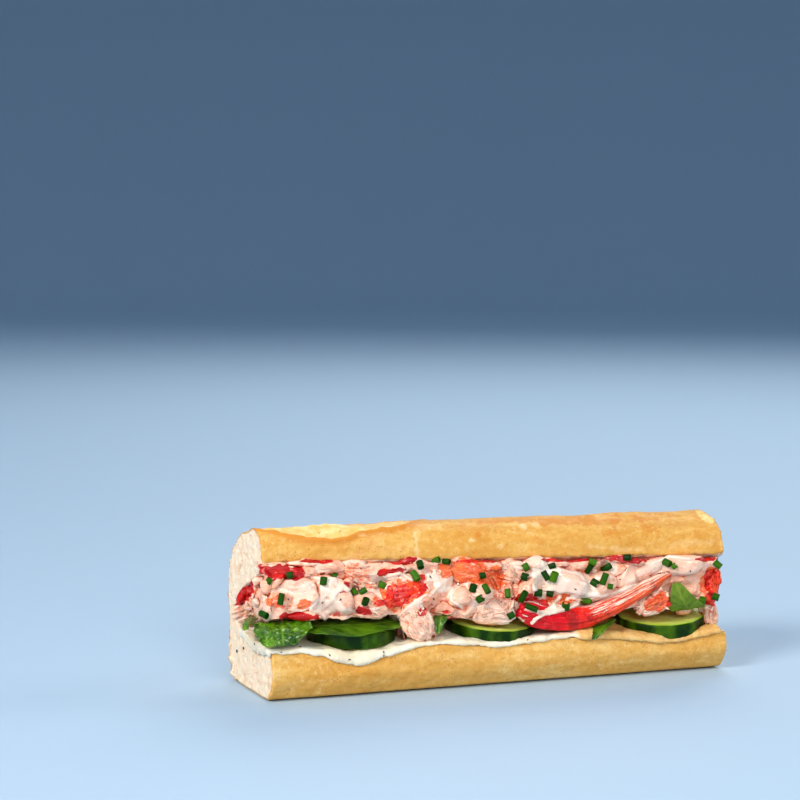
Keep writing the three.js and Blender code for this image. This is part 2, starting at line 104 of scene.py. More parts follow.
# %% [markdown]
# ## Floor and light
#
# The floor is one large pale disc whose rim curves up like the paper sweep of a studio, so no edge of
# it shows behind the roll. It starts as a circle, whose rim is extruded outwards and upwards a few times.
# The light is soft: a broad key lamp from above on the left, a fill from the front, a large lamp behind,
# a weak one on the right, and a pale surround.

# %% Floor and light
STUDIO_RADIUS = 3.0
SWEEP_STEP = 0.5  # how far each step of the curved rim goes, in m
SWEEP_SLOPES = range(10, 90, 15)  # how steep each step is, in degrees
WARM = (1.0, 0.95, 0.88)
LAMPS = [
    # name, place in m, width and height in m, power in W, colour
    ("key", (-1.35, -0.8, 1.05), (0.7, 0.7), 31, WARM),
    ("fill", (-0.1, -1.7, 0.75), (0.6, 0.5), 14, (1.0, 0.97, 0.93)),
    ("back", (0.75, 1.3, 1.25), (1.4, 1.0), 15, WARM),
    ("side", (1.4, -0.2, 0.7), (0.8, 0.8), 7.5, WARM),
]
LAMPS_AIM = Vector((0, 0, 0.03))


def nothing_selected():
    if bpy.context.object and bpy.context.object.mode != "OBJECT":
        bpy.ops.object.mode_set(mode="OBJECT")
    bpy.ops.object.select_all(action="DESELECT")


def choose(piece):
    """Makes one piece the only selected and the active one."""
    nothing_selected()
    piece.select_set(True)
    bpy.context.view_layer.objects.active = piece


def added(shape, name, **settings):
    """A new piece that starts as one of the built-in shapes."""
    nothing_selected()
    getattr(bpy.ops.mesh, f"primitive_{shape}_add")(**settings)
    bpy.context.object.name = name
    return bpy.context.object


@contextlib.contextmanager
def editing(piece, kind="VERT"):
    """Edit mode for the steps inside, which start with the whole piece selected."""
    choose(piece)
    bpy.ops.object.mode_set(mode="EDIT")
    bpy.ops.mesh.select_mode(type=kind)
    bpy.ops.mesh.select_all(action="SELECT")
    yield
    bpy.ops.object.mode_set(mode="OBJECT")


floor = added("circle", "studio_floor", vertices=96, radius=STUDIO_RADIUS, fill_type="NGON")
with editing(floor, "FACE"):
    bpy.ops.mesh.region_to_loop()
    for slope in map(math.radians, SWEEP_SLOPES):
        rise = SWEEP_STEP * math.sin(slope)
        reach = 1 + SWEEP_STEP * math.cos(slope) / STUDIO_RADIUS
        bpy.ops.mesh.extrude_region_move(TRANSFORM_OT_translate={"value": (0, 0, rise)})
        bpy.ops.transform.resize(value=(reach, reach, 1))
bpy.ops.object.shade_smooth()

for name, place, size, power, color in LAMPS:
    lamp_data = bpy.data.lights.new(name, "AREA")
    lamp_data.shape = "RECTANGLE"
    lamp_data.size, lamp_data.size_y = size
    lamp_data.energy = power
    lamp_data.color = color
    lamp = bpy.data.objects.new(name, lamp_data)
    bpy.context.scene.collection.objects.link(lamp)
    lamp.location = place
    lamp.rotation_euler = (LAMPS_AIM - Vector(place)).to_track_quat("-Z", "Y").to_euler()

surround = bpy.data.worlds.new("surround")
surround.use_nodes = True
background = surround.node_tree.nodes["Background"].inputs
background["Color"].default_value = (1.0, 0.96, 0.91, 1)
background["Strength"].default_value = 0.5
bpy.context.scene.world = surround
bpy.context.scene.view_settings.view_transform = "Standard"
print("studio:", len(LAMPS), "lamps")

# %% [markdown]
# ## Writing a material as an expression
#
# A material is a graph of nodes. Building it by hand is clear but long, so one small class wraps a
# node's socket. Python's own signs then add Math nodes, as in `1 - mask`, and one method adds any other
# node: its type, its settings, and the values or links of its sockets. A colour is written as a painter
# reads it, from 0 to 255, and turned into the linear light that shaders use where a node takes it.

# %% Shader expressions


def srgb(red, green, blue):
    """A colour of 0 to 255 for each light, in linear light."""
    share = [c / 255 for c in (red, green, blue)]
    return tuple(c / 12.92 if c <= 0.04045 else ((c + 0.055) / 1.055) ** 2.4 for c in share)


class Wire:
    """An output socket of a material's node, or the bare tree where there is none yet."""

    def __init__(self, tree, socket=None):
        self.tree = tree
        self.socket = socket

    def node(self, kind, settings=None, sockets=None, output=0):
        made = self.tree.nodes.new("ShaderNode" + kind)
        for name, value in (settings or {}).items():
            if name == "stops":
                ramp = made.color_ramp
                ramp.elements.remove(ramp.elements[1])
                ramp.elements[0].position, ramp.elements[0].color = value[0][0], (*value[0][1], 1)
                for place, color in value[1:]:
                    ramp.elements.new(place).color = (*color, 1)
            else:
                setattr(made, name, value)
        for name, value in (sockets or {}).items():
            socket = made.inputs[name]
            if isinstance(value, Wire):
                self.tree.links.new(value.socket, socket)
            elif socket.type == "RGBA":
                socket.default_value = (*value, 1)
            else:
                socket.default_value = value
        return Wire(self.tree, made.outputs[output])

    def math(self, operation, *others):
        sockets = dict(enumerate((self, *others)))
        return self.node("Math", {"operation": operation}, sockets)

    def __add__(self, other):
        return self.math("ADD", other)

    def __sub__(self, other):
        return self.math("SUBTRACT", other)

    def __rsub__(self, other):
        return self.node("Math", {"operation": "SUBTRACT"}, {0: other, 1: self})

    def __mul__(self, other):
        return self.math("MULTIPLY", other)

    __radd__ = __add__
    __rmul__ = __mul__

    def ramp(self, low, high):
        """0 below low, 1 above high, and a smooth rise between them."""
        settings = {"interpolation_type": "SMOOTHSTEP"}
        return self.node("MapRange", settings, {"Value": self, "From Min": low, "From Max": high})

    def colors(self, *stops):
        """A colour ramp: each stop is a place from 0 to 1 and a colour."""
        linear = [(place, srgb(*color)) for place, color in stops]
        return self.node("ValToRGB", {"stops": linear}, {"Fac": self})

    def tint(self, below, above):
        """The first colour where this is 0, and the second where it is 1."""
        below, above = (c if isinstance(c, Wire) else srgb(*c) for c in (below, above))
        return self.node("Mix", {"data_type": "RGBA"}, {0: self, 6: below, 7: above}, output=2)

    def painted(self, *coats):
        """This colour under some coats of paint, each a share from 0 to 1 and the colour that it adds."""
        color = self
        for share, coat in coats:
            color = share.tint(color, coat)
        return color


class Finish:
    """A new material, with its shader and the patterns that its expressions start from."""

    def __init__(self, name, **constants):
        self.material = bpy.data.materials.new(name)
        self.material.use_nodes = True
        self.tree = self.material.node_tree
        self.shader = self.tree.nodes["Principled BSDF"]
        self.start = Wire(self.tree)
        self.place = self.start.node("TexCoord", output=3)
        for socket, value in constants.items():
            self.shader.inputs[socket.replace("_", " ")].default_value = value

    def attribute(self, name):
        return self.start.node("Attribute", {"attribute_name": name}, output=2)

    def stretched(self, scale, turn=(0, 0, 0)):
        sockets = {"Vector": self.place, "Scale": scale, "Rotation": [math.radians(a) for a in turn]}
        return self.start.node("Mapping", sockets=sockets)

    def noise(self, place, scale, detail, rough=0.5, distortion=0.0):
        sockets = {"Vector": place, "Scale": scale, "Detail": detail, "Roughness": rough}
        return self.start.node("TexNoise", sockets=sockets | {"Distortion": distortion})

    def cloud(self, size, detail=2.0, rough=0.5):
        """Soft noise from 0 to 1, whose blots are about so many millimetres wide."""
        return self.noise(self.place, 0.5 / (size * MM), detail, rough)

    def cells(self, size):
        """The distance from the middle of the nearest of many cells, each so many millimetres wide."""
        return self.start.node("TexVoronoi", sockets={"Vector": self.place, "Scale": 1 / (size * MM)})

    def wear(self, color=None, roughness=None, relief=None, depth=1.0, coat=None):
        """Feeds the shader: relief is a height from 0 to 1, and depth what 1 means in millimetres."""
        for name, wire in (("Base Color", color), ("Roughness", roughness), ("Coat Weight", coat)):
            if wire is not None:
                self.tree.links.new(wire.socket, self.shader.inputs[name])
        if relief is not None:
            bump = self.start.node("Bump", sockets={"Height": relief, "Distance": depth * MM})
            self.tree.links.new(bump.socket, self.shader.inputs["Normal"])
        return self.material


paper = Finish("pale_floor", Base_Color=(*srgb(174, 199, 221), 1), Roughness=0.7)
floor.data.materials.append(paper.material)
print("materials so far:", len(bpy.data.materials))

# %% [markdown]
# ## Copies that can be shaped
#
# A solid arrives as loose triangles, each with its own three corners. The copy that is to be shaped has
# its doubled corners merged first. Modifiers then even it out: Subdivision Surface rounds its facets,
# and a voxel remesh gives it small faces of one size, which fine relief needs.

# %% Helpers for pieces


def pick(piece, kind, wanted):
    """Inside edit mode, selects only the wanted vertices or polygons."""
    bpy.ops.mesh.select_all(action="DESELECT")
    bpy.ops.object.mode_set(mode="OBJECT")
    getattr(piece.data, kind).foreach_set("select", np.array(wanted, dtype=bool))
    bpy.ops.object.mode_set(mode="EDIT")


def new_piece(name, mesh):
    """A piece with a mesh of its own, copied from another."""
    piece = bpy.data.objects.new(name, mesh.copy())
    bpy.context.scene.collection.objects.link(piece)
    return piece


def discard(*pieces):
    for piece in pieces:
        bpy.data.objects.remove(piece)


def merged_copy(node, name):
    """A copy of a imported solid, with its doubled corners merged."""
    piece = new_piece(name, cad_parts[node].data)
    piece.data.materials.clear()
    with editing(piece):
        bpy.ops.mesh.remove_doubles(threshold=1e-6)
    return piece


def apply_modifier(piece, kind, **settings):
    choose(piece)
    modifier = piece.modifiers.new(kind.lower(), kind)
    for name, value in settings.items():
        setattr(modifier, name, value)
    bpy.ops.object.modifier_apply(modifier=modifier.name)


def places(piece):
    """Where a piece's points are, one a row."""
    flat = np.empty(len(piece.data.vertices) * 3)
    piece.data.vertices.foreach_get("co", flat)
    return flat.reshape(-1, 3)


def outward(piece):
    """The normals of a piece's points, one a row."""
    flat = np.empty(len(piece.data.vertices) * 3)
    piece.data.vertex_normals.foreach_get("vector", flat)
    return flat.reshape(-1, 3)


def move_to(piece, points):
    piece.data.vertices.foreach_set("co", np.asarray(points).ravel())
    piece.data.update()


def push_out(piece, points, heights):
    """Moves a piece to some points, and from there along its normals by heights in millimetres."""
    move_to(piece, points + outward(piece) * (heights * MM)[:, None])


def store(piece, **attributes):
    """Keeps a number for each point, so that materials can read it."""
    for name, values in attributes.items():
        kept = piece.data.attributes.new(name, "FLOAT", "POINT")
        kept.data.foreach_set("value", np.asarray(values, float))


def soft_noise(spots, size, seed=0, octaves=1):
    """Noise from about -1 to 1 at each spot, with bumps of about the given size, both in millimetres."""
    total = np.zeros(len(spots))
    for k in range(octaves):
        scaled = np.asarray(spots) * (2**k / size) + np.array((7.3, 3.1, 5.7)) * (seed + k)
        total += np.array([noise.noise(p) for p in scaled.tolist()]) / 2**k
    return total * 1.6


def smooth_step(values, low, high):
    """0 up to low and 1 from high on, with a smooth rise between. With low above high it runs down."""
    share = np.clip((np.asarray(values) - low) / (high - low), 0, 1)
    return share * share * (3 - 2 * share)


def bump(values, middle, half):
    """1 at the middle and next to nothing from about twice the half width on."""
    return np.exp(-(((values - middle) / half) ** 2))


RAGGED_SIZE = 9  # how far apart the bays of an area's rim are, in pixels
AREA_RIM = (0.75, 1.15)  # an area fades out between these shares of its half sizes


def patches(seen, areas, seed, ragged=0.35):
    """How strongly each seen point is inside any of the areas: centre, half sizes, turn and strength."""
    wobble = ragged * soft_noise(np.c_[seen, np.zeros(len(seen))], RAGGED_SIZE, seed=seed, octaves=3)
    best = np.zeros(len(seen))
    for u, v, wide, high, turn, strength in areas:
        c, s = math.cos(math.radians(turn)), math.sin(math.radians(turn))
        du, dv = seen[:, 0] - u, v - seen[:, 1]
        reach = np.hypot((du * c + dv * s) / wide, (dv * c - du * s) / high) + wobble
        best = np.maximum(best, strength * (1 - smooth_step(reach, *AREA_RIM)))
    return best


def tree_of(*pieces):
    """One search tree over the surfaces of some pieces."""
    corners, polygons = [], []
    for piece in pieces:
        polygons += [[len(corners) + i for i in p.vertices] for p in piece.data.polygons]
        corners += [v.co for v in piece.data.vertices]
    return BVHTree.FromPolygons(corners, polygons)


def finished(piece, slot, material, *nodes):
    """Gives a piece its material, its body and the solids that it stands for. The slot is not used."""
    piece.data.materials.clear()
    piece.data.materials.append(material)
    choose(piece)
    bpy.ops.object.shade_smooth()
    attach(piece, "root")
    if nodes:
        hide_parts(*nodes)
    triangles = sum(len(p.vertices) - 2 for p in piece.data.polygons)
    print(piece.name, triangles, "triangles")


# %% [markdown]
# ## The bread
#
# A baguette's crust is thin, hard and golden, with one long slash on top that opened in the oven: its
# front edge stands up as a browner ridge, and behind it the paler dough shows, dusty with flour. The two
# cuts show soft crumb full of small holes inside a thin brown rind.
#
# The copy of the solid is rounded by a subdivision surface whose cut edges are creased, so they stay
# sharp, and remeshed to faces of under a millimetre. A voxel remesh leaves faint steps, so its points are
# drawn back onto the rounded surface by Shrinkwrap. Each point then learns how far it lies from the
# crust. That one number, kept as an attribute, tells the material where crust ends and crumb begins, and
# tells the relief where to make holes.
#
# What the oven did in one place and not in another is given as areas of the picture: the torn lip of the
# slash, called the ear, the browner patches, pale marks where the dough was pinched, and one torn patch.

# %% Bread: shape
SHIFT = Vector((3.85, 1.62, 0))  # from the loaf's own middle to the middle of the whole roll, in mm
BREAD_FACE = 0.97  # side of a face of the remeshed bread, in mm
SHARP_EDGE = math.radians(50)

# The slit's floor lies between two heights and behind the lip, its roof above a height and in front of
# the back, and its hinge behind the last. All are in the loaf's own mm.
SLIT_FLOOR, LIP_FRONT, SLIT_ROOF, SLIT_BACK, HINGE_FRONT = (12, 35), -31, 30, 24, 5

# The slash is a lens on the crown, in mm. Across the picture, in pixels, the ear rises over the first
# range, sinks over the second, and is browner below from the third on.
SLASH_MIDDLE, SLASH_HALF, SLASH_FRONT, SLASH_BACK, CROWN_FROM = -72, 68, -14, 7, 60
EAR_RISES, EAR_SINKS, EAR_BROWNS = (244, 262), (405, 436), (270, 300)

# Where an effect begins and where it is whole, in mm.
CRUMB_INSIDE = (0.7, 2.0)  # the distance to the crust
TORN_RIM_LEFT, TORN_RIM_BACK, TORN_RIM_LOW = (98, 106), (-12, 2), (20, 14)
BASE_EDGE = (0.3, 2.5)  # the base below stays flat
SLIT_ENDS, SLIT_HEIGHTS = (92, 106), (30, 44)  # the slit is painted with the filling's stain and with shade between the ends

# Points of the picture along the ear.
EAR = [(246, 527), (262, 531), (282, 534.5), (308, 539), (332, 540), (348, 537.5), (362, 532.5), (382, 529),
       (404, 526), (424, 520), (440, 513)]

# Areas of the crust: centre and half sizes in pixels, turn in degrees, strength.
BROWNED_AREAS = [
    (440, 518, 34, 5, 6, 0.7),
    (505, 519, 46, 4, 4, 1.0),
    (590, 520, 60, 4, 2, 1.6),
    (640, 519, 22, 3, 0, 1.0),
    (696, 533, 8, 4, 30, 0.5),
    (716, 545, 4, 14, 0, 0.4),
    (540, 541, 9, 3, -10, 0.5),
    (612, 533, 9, 4, 0, 0.6),
    (652, 529, 8, 4, -15, 0.7),
    (478, 535, 3, 2.5, 0, 1.2),
    (470, 530, 16, 5, 20, 0.3),
    (360, 548, 40, 4, 0, 0.3),
]
PALE_MARKS = [
    (416, 544, 1.8, 13, 4, 0.8),
    (523, 527, 4, 2, -30, 1.0),
    (472, 540, 3, 2, 0, 0.9),
    (535, 524, 4, 2, -20, 0.5),
    (501, 546, 3, 2, 0, 0.6),
    (618, 549, 22, 2.5, -4, 0.4),
    (690, 543, 22, 3, 6, 0.3),
    (360, 535, 4, 1.5, 0, 0.7),
    (345, 560, 30, 2, 0, 0.3),
]
TORN_PATCHES = [(707, 518, 10, 3.6, -40, 1.0)]


def is_crust(normal, centre):
    """Whether a face of the solid is crust, from its normal and its centre in the loaf's own mm."""
    _, y, z = centre
    cut = abs(normal.x) > 0.9
    floor_of_slit = normal.z > 0.55 and SLIT_FLOOR[0] < z < SLIT_FLOOR[1] and y > LIP_FRONT
    roof_of_slit = normal.z < -0.25 and z > SLIT_ROOF and y < SLIT_BACK
    hinge_of_slit = normal.y < -0.3 and y > HINGE_FRONT
    return not (cut or floor_of_slit or roof_of_slit or hinge_of_slit)


bread = merged_copy("bread", "baguette")
mesh = bread.data
crust_faces = [list(p.vertices) for p in mesh.polygons if is_crust(p.normal, p.center / MM - SHIFT)]
face_count = len(mesh.polygons)
crust_tree = BVHTree.FromPolygons([v.co for v in mesh.vertices], crust_faces)
crease = mesh.attributes.new("crease_edge", "FLOAT", "EDGE")
shaper = bmesh.new()
shaper.from_mesh(mesh)
sharp = [e.calc_face_angle(0) > SHARP_EDGE for e in shaper.edges]
shaper.free()
crease.data.foreach_set("value", np.array(sharp, float))
apply_modifier(bread, "SUBSURF", levels=2, render_levels=2)
rounded = new_piece("rounded", mesh)
apply_modifier(bread, "REMESH", mode="VOXEL", voxel_size=BREAD_FACE * MM)
apply_modifier(bread, "SMOOTH", factor=0.5, iterations=3)
apply_modifier(bread, "SHRINKWRAP", target=rounded)
discard(rounded)

points = places(bread)
normals = outward(bread)
seen = picture_places(points)
spots = points / MM - np.array(SHIFT)
x, y, z = spots.T
to_crust = np.array([crust_tree.find_nearest(Vector(p))[3] for p in points]) / MM
is_cut = smooth_step(to_crust, *CRUMB_INSIDE)
on_crust = 1 - is_cut

# The slash on the left of the crown opened towards the front. Its lower lip is the ear; behind it the
# torn dough reaches back over the crown, in the shape of a lens.
across_picture = seen[:, 0]
ear_u, ear_v = np.array(EAR).T
wander = soft_noise(spots, 6, seed=3, octaves=2)
bulge = np.sqrt(np.clip(1 - ((x - SLASH_MIDDLE) / SLASH_HALF) ** 2, 0, 1))
slash_back = SLASH_FRONT + (SLASH_BACK - SLASH_FRONT) * bulge - 3 * wander
above = np.interp(across_picture, ear_u, ear_v) - seen[:, 1] + 0.9 * wander
opened = on_crust * smooth_step(across_picture, *EAR_RISES) * (1 - smooth_step(across_picture, *EAR_SINKS))
opened *= z > CROWN_FROM
front_side = opened * (y < 2)
ridge = front_side * bump(above, -0.6, 2.2)
valley = opened * smooth_step(above, 0.6, 2.2) * (1 - smooth_step(y - slash_back, -3, 3))
back_ridge = opened * (y > -8) * bump(y - slash_back, 1, 1.4)
# A painted shadow under the ear: a browner band below its ridge, kept with the browner patches.
shadow_under_ear = front_side * bump(above, -3.0, 3.4) * smooth_step(across_picture, *EAR_BROWNS)

to_eye = np.array(EYE) - points
to_eye /= np.linalg.norm(to_eye, axis=1)[:, None]
facing_share = (normals * to_eye).sum(axis=1)
faces_eye = smooth_step(facing_share, 0.1, 0.4)
browned = patches(seen, BROWNED_AREAS, 7, ragged=0.6) * faces_eye
pale_marks = patches(seen, PALE_MARKS, 10, ragged=0.7) * faces_eye * on_crust
torn_patch = patches(seen, TORN_PATCHES, 9) * smooth_step(facing_share, 0.0, 0.15) * on_crust

# The crust's relief: blisters, the roll of the dough, its grain and wrinkles, and what is torn.
blister = soft_noise(spots, 4.5, seed=1, octaves=2)
roll_of_dough = soft_noise(spots, 22, seed=2)
wrinkle = np.abs(soft_noise(spots * [0.5, 1, 1], 9, seed=6, octaves=2))
skin_grain = soft_noise(spots, 1.8, seed=5)
torn = soft_noise(spots * [0.6, 1, 1], 3.2, seed=8, octaves=2)
crust_height = 0.14 * blister + 0.3 * roll_of_dough + 0.06 * skin_grain - 0.1 * smooth_step(wrinkle, 0.2, 0)
crust_height += 0.8 * torn_patch * torn + 1.0 * ridge + 0.6 * back_ridge - 0.5 * valley + 0.45 * valley * torn

# The crumb's relief: small holes, larger cavities, and an edge that is torn where the crust begins.
holes = np.clip(soft_noise(spots, 2.4, seed=11) - 0.3, 0, 1) * 2
cavities = np.clip(soft_noise(spots * [0.4, 1, 1], 4.6, seed=17, octaves=2) - 0.5, 0, 0.6) / 0.6
crumb_height = 0.2 * torn - 0.5 * holes - 0.8 * cavities
near_edge = bump(to_crust, 0.9, 0.9) * smooth_step(to_crust, 0.05, 0.5)
torn_edge = 0.5 * near_edge * soft_noise(spots, 1.8, seed=14, octaves=3)
height = on_crust * crust_height + is_cut * crumb_height + torn_edge

# The lower back rim of the left cut is more ragged, and nothing disturbs the flat base.
rim = bump(to_crust, 1.5, 1.6) * smooth_step(-x, *TORN_RIM_LEFT) * smooth_step(y, *TORN_RIM_BACK)
rim *= smooth_step(z, *TORN_RIM_LOW)
height += rim * (1.3 * soft_noise(spots, 4.0, seed=16, octaves=3) - 0.2 + 0.7 * smooth_step(z, 12, 7))
height *= smooth_step(z, *BASE_EDGE)

# Inside the slit the crumb is painted warmer and darker: partly the filling's stain, partly painted shade
# under the upper half.
in_slit = is_cut * (1 - smooth_step(np.abs(normals[:, 0]), 0.45, 0.75))
in_slit *= (1 - 0.65 * smooth_step(np.abs(x), *SLIT_ENDS)) * smooth_step(z, *SLIT_HEIGHTS)
push_out(bread, points, height)
store(
    bread,
    to_crust=to_crust,
    ridge=np.maximum(ridge, 0.7 * back_ridge),
    valley=np.maximum(valley * (1 - 0.5 * smooth_step(y - slash_back, -12, 0)), 0.9 * torn_patch),
    wrinkle=wrinkle,
    in_slit=in_slit,
    # the oven's browner patches, together with the painted shadow under the ear
    browned=np.maximum(browned, shadow_under_ear),
    pale=pale_marks,
    # the cavities, which the material paints darker as painted shade
    cavity=is_cut * cavities,
)
print("crust faces", len(crust_faces), "of", face_count, "; points", len(points))

# %% [markdown]
# The crust's colour runs from straw through gold to orange-brown, in broad patches, with small freckles
# where blisters caught the heat and pale specks of flour. The lowest part of its side is painted a little
# paler, as painted light from the floor.
# The crumb is cream, painted a little darker in its holes and cavities as painted shade, and inside the slit
# it is painted warmer and darker, partly the filling's stain and partly painted shade.
# The rind between them is a narrow band of brown, found from the distance to the crust.

# %% Bread: material
baked = Finish(
    "baked_crust_and_crumb", Subsurface_Weight=0.1, Subsurface_Scale=0.003, Subsurface_Radius=(1.0, 0.6, 0.3),
    Specular_IOR_Level=0.15,
)
depth_in, ridge, wrinkle = (baked.attribute(name) for name in ("to_crust", "ridge", "wrinkle"))
level = baked.start.node("SeparateXYZ", sockets={"Vector": baked.place}, output=2)
broad = baked.cloud(26, 3, 0.6)
middling = baked.cloud(5, 4, 0.65)
fine = baked.cloud(2.0, 4, 0.7)
streaky = baked.noise(baked.stretched((1, 3, 3)), 70.0, 4.0)
# Painted light: the lowest part of the side is painted paler, as if lit from the floor below.
low_floor_light = 1 - level.ramp(-0.004, 0.022)
browned = (baked.attribute("browned") * (0.35 + 0.9 * streaky)).math("MINIMUM", 0.75)
pale_patch = (0.5 * baked.cloud(13, 3, 0.6) + 0.5 * streaky).ramp(0.52, 0.64)
dark_fleck = baked.cloud(1.1, 3, 0.7).ramp(0.44, 0.66)
pale_fleck = baked.cloud(1.6, 3, 0.7).ramp(0.5, 0.7)
scorch = (0.5 * broad + 0.5 * streaky).ramp(0.54, 0.66) * level.ramp(0.03, 0.07)
freckle = baked.cells(1.5).ramp(0.26, 0.12) * baked.cloud(5).ramp(0.44, 0.56)
flour = baked.cloud(1.0, 3, 0.6).ramp(0.57, 0.68) * baked.cloud(11).ramp(0.45, 0.6)
pale_dough = (0.5 * fine + 0.5 * streaky).ramp(0.38, 0.6).tint((238, 184, 96), (250, 218, 152))
golds = (0.4 * broad + 0.2 * middling + 0.4 * streaky).colors(
    (0.36, (211, 147, 60)), (0.46, (220, 161, 74)), (0.54, (227, 173, 88)), (0.66, (235, 190, 112))
)
crust = golds.painted(
    (low_floor_light * 0.3, (234, 180, 94)),
    # browner patches, and the painted shadow under the ear
    (browned, (212, 128, 36)),
    (pale_patch * 0.3, (250, 214, 142)),
    (dark_fleck * 0.4, (206, 140, 58)),
    (pale_fleck * 0.22, (252, 214, 140)),
    (wrinkle.ramp(0.16, 0.02) * 0.1, (252, 218, 150)),
    (scorch * 0.5, (216, 134, 52)),
    (freckle * 0.6, (178, 100, 34)),
    (baked.attribute("pale") * (0.3 + 0.6 * streaky), (254, 226, 172)),
    (flour * 0.3, (253, 224, 166)),
    ((ridge * (0.6 + 0.7 * streaky)).math("MINIMUM", 0.85), (216, 136, 44)),
    (baked.attribute("valley").ramp(0.0, 0.75), pale_dough),
)
# Painted shade: the crumb's holes and cavities are painted darker.
shaded_hole = baked.cells(1.5).ramp(0.32, 0.12) * baked.cloud(4).ramp(0.36, 0.56)
crumb = baked.cloud(1.5, 3, 0.6).ramp(0.34, 0.58).tint((250, 218, 188), (255, 233, 206)).painted(
    (shaded_hole * 0.42, (208, 158, 112)),
    (baked.attribute("cavity") * 0.55, (222, 176, 128)),
    (baked.attribute("in_slit") * 0.8, (212, 112, 66)),
)
rind = depth_in.ramp(0.25, 0.6) * (1 - depth_in.ramp(0.8, 1.5))
color = crust.painted((depth_in.ramp(0.5, 1.1), crumb), (rind * 0.5, (206, 142, 66)))
pores = 0.4 * baked.cells(1.4).ramp(0.1, 0.4) + 0.3 * baked.cloud(0.8, 3)
skin = 0.35 * fine + 0.3 * streaky + 0.2 * (1 - freckle) + 0.3 * baked.cloud(0.7, 3, 0.7)
relief = skin + depth_in.ramp(0.8, 1.6) * (1.6 * pores - skin)
rough = 0.5 + 0.12 * middling + 0.25 * depth_in.ramp(0.6, 1.6)
finished(bread, "crust", baked.wear(color, rough, relief, depth=0.4), "bread")

# %% [markdown]
# ## The mayonnaise
#
# A thick spread has no edges: it is scooped, dragged and pressed, and where it oozes over the lip its rim
# is fat and round. A voxel remesh followed by a few rounds of smoothing melts the facets of the solid
# into just such a surface. Broad noise then adds the marks of the knife. On the left cut the surface is
# drawn back to the solid's own, and on the right the spread thins to a smear that follows the lip.

# %% Mayonnaise
SPREAD_FACE = 0.7  # side of a face of the remeshed spread, in mm
THINS = (30, 42)  # over this range of x, in mm, it thins to a smear that soaks into the crumb
LEFT_CUT = (103, 107)  # over this range of -x, in mm, it comes to lie flush with the cut
LAP = np.array([0, -0.7, -1.1])  # how far the smear's front is drawn over the lip, in mm

spread = merged_copy("spread", "mayonnaise_layer")
apply_modifier(spread, "REMESH", mode="VOXEL", voxel_size=SPREAD_FACE * MM)
apply_modifier(spread, "SMOOTH", factor=0.6, iterations=7)
points = places(spread)
spots = points / MM
swipes = soft_noise(spots * [1, 0.6, 1], 9, seed=21, octaves=2)
lumps = soft_noise(spots, 3.2, seed=22)
thin = smooth_step(spots[:, 0] + 6 * swipes, *THINS)
raised = 0.4 + 0.5 * swipes + 0.22 * lumps + 0.12 * soft_noise(spots, 1.7, seed=23)
at_cut = smooth_step(-spots[:, 0], *LEFT_CUT)
solid_tree = tree_of(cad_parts["spread"])
flush = [solid_tree.find_nearest(Vector(p))[0] if near > 0 else p for p, near in zip(points, at_cut)]
points = points + at_cut[:, None] * (np.array(flush) - points)
torn_end = 0.5 * soft_noise(spots, 3.0, seed=24, octaves=2) + 0.2
raised = (raised + 0.35 * thin) * (1 - at_cut) + torn_end * at_cut
lap = thin * smooth_step(-outward(spread)[:, 1], 0.1, 0.5)
points = points + lap[:, None] * LAP * MM
push_out(spread, points, raised)
store(spread, thin=thin)

mayonnaise = Finish(
    "mayonnaise", Roughness=0.3, Coat_Roughness=0.15, Subsurface_Weight=0.25, Subsurface_Scale=0.003,
    Subsurface_Radius=(1.0, 0.7, 0.45),
)
thinness = mayonnaise.attribute("thin")
mottle = mayonnaise.cloud(7, 3)
soaked = (thinness * (0.55 + 0.9 * mayonnaise.cloud(4, 3))).math("MINIMUM", 0.95)
golden = (0.5 * mayonnaise.cloud(5, 3) + 0.5 * mayonnaise.cloud(1.2, 3)).ramp(0.4, 0.6)
golden = golden.tint((218, 160, 74), (238, 190, 110))
color = soaked.tint(mottle.ramp(0.3, 0.7).tint((240, 222, 190), (248, 238, 216)), golden)
gloss = 0.26 + 0.16 * mayonnaise.cloud(5) + 0.25 * thinness
relief = 0.7 * mayonnaise.cloud(3.5, 2) + 0.3 * mayonnaise.cloud(1.2, 2)
finished(spread, "mayonnaise", mayonnaise.wear(color, gloss, relief, depth=0.5), "spread")

# %% [markdown]
# ## The cucumber slices
#
# A slice is a short cylinder: dark glossy skin round its side, with shallow ribs and paler stripes, then
# a thin bright green line, pale wet flesh, and a ring of seeds round the core. A cylinder is added at its
# size, its two faces are inset several times for those rings, and its rims are bevelled. The ribs are
# pressed in by moving the side's points. Attributes say how far out each point lies and how high its rib
# is, so the colours follow the slice wherever it is turned.

# %% Cucumber: shape
SLICE_THICK = 6.5
RIM_BEVEL = 0.45
SPIN_STEP = 1.7  # each slice is turned by so much more than the last, in radians
RIB_ROOM = 0.1  # how far a slice stays inside its solid's radius, in mm, for its ribs
RINGS = (0.5, 0.7, 1.5, 3.5, 3.5, 2.5, 2.5, 2.0)  # widths of a face's rings from the rim inwards, in mm
SLICES = [
    # middle across and deep, radius, height of the front rim's lower edge, nod and roll in degrees
    ("cucumber_1", (-67.5, -10.4), 20.6, 21.8, 5, 0),
    ("cucumber_2", (-0.2, -10.8), 20.6, 19.0, 6, 3),
    ("cucumber_3", (86, -11.3), 21.4, 16.9, 6.5, -2.5),
]


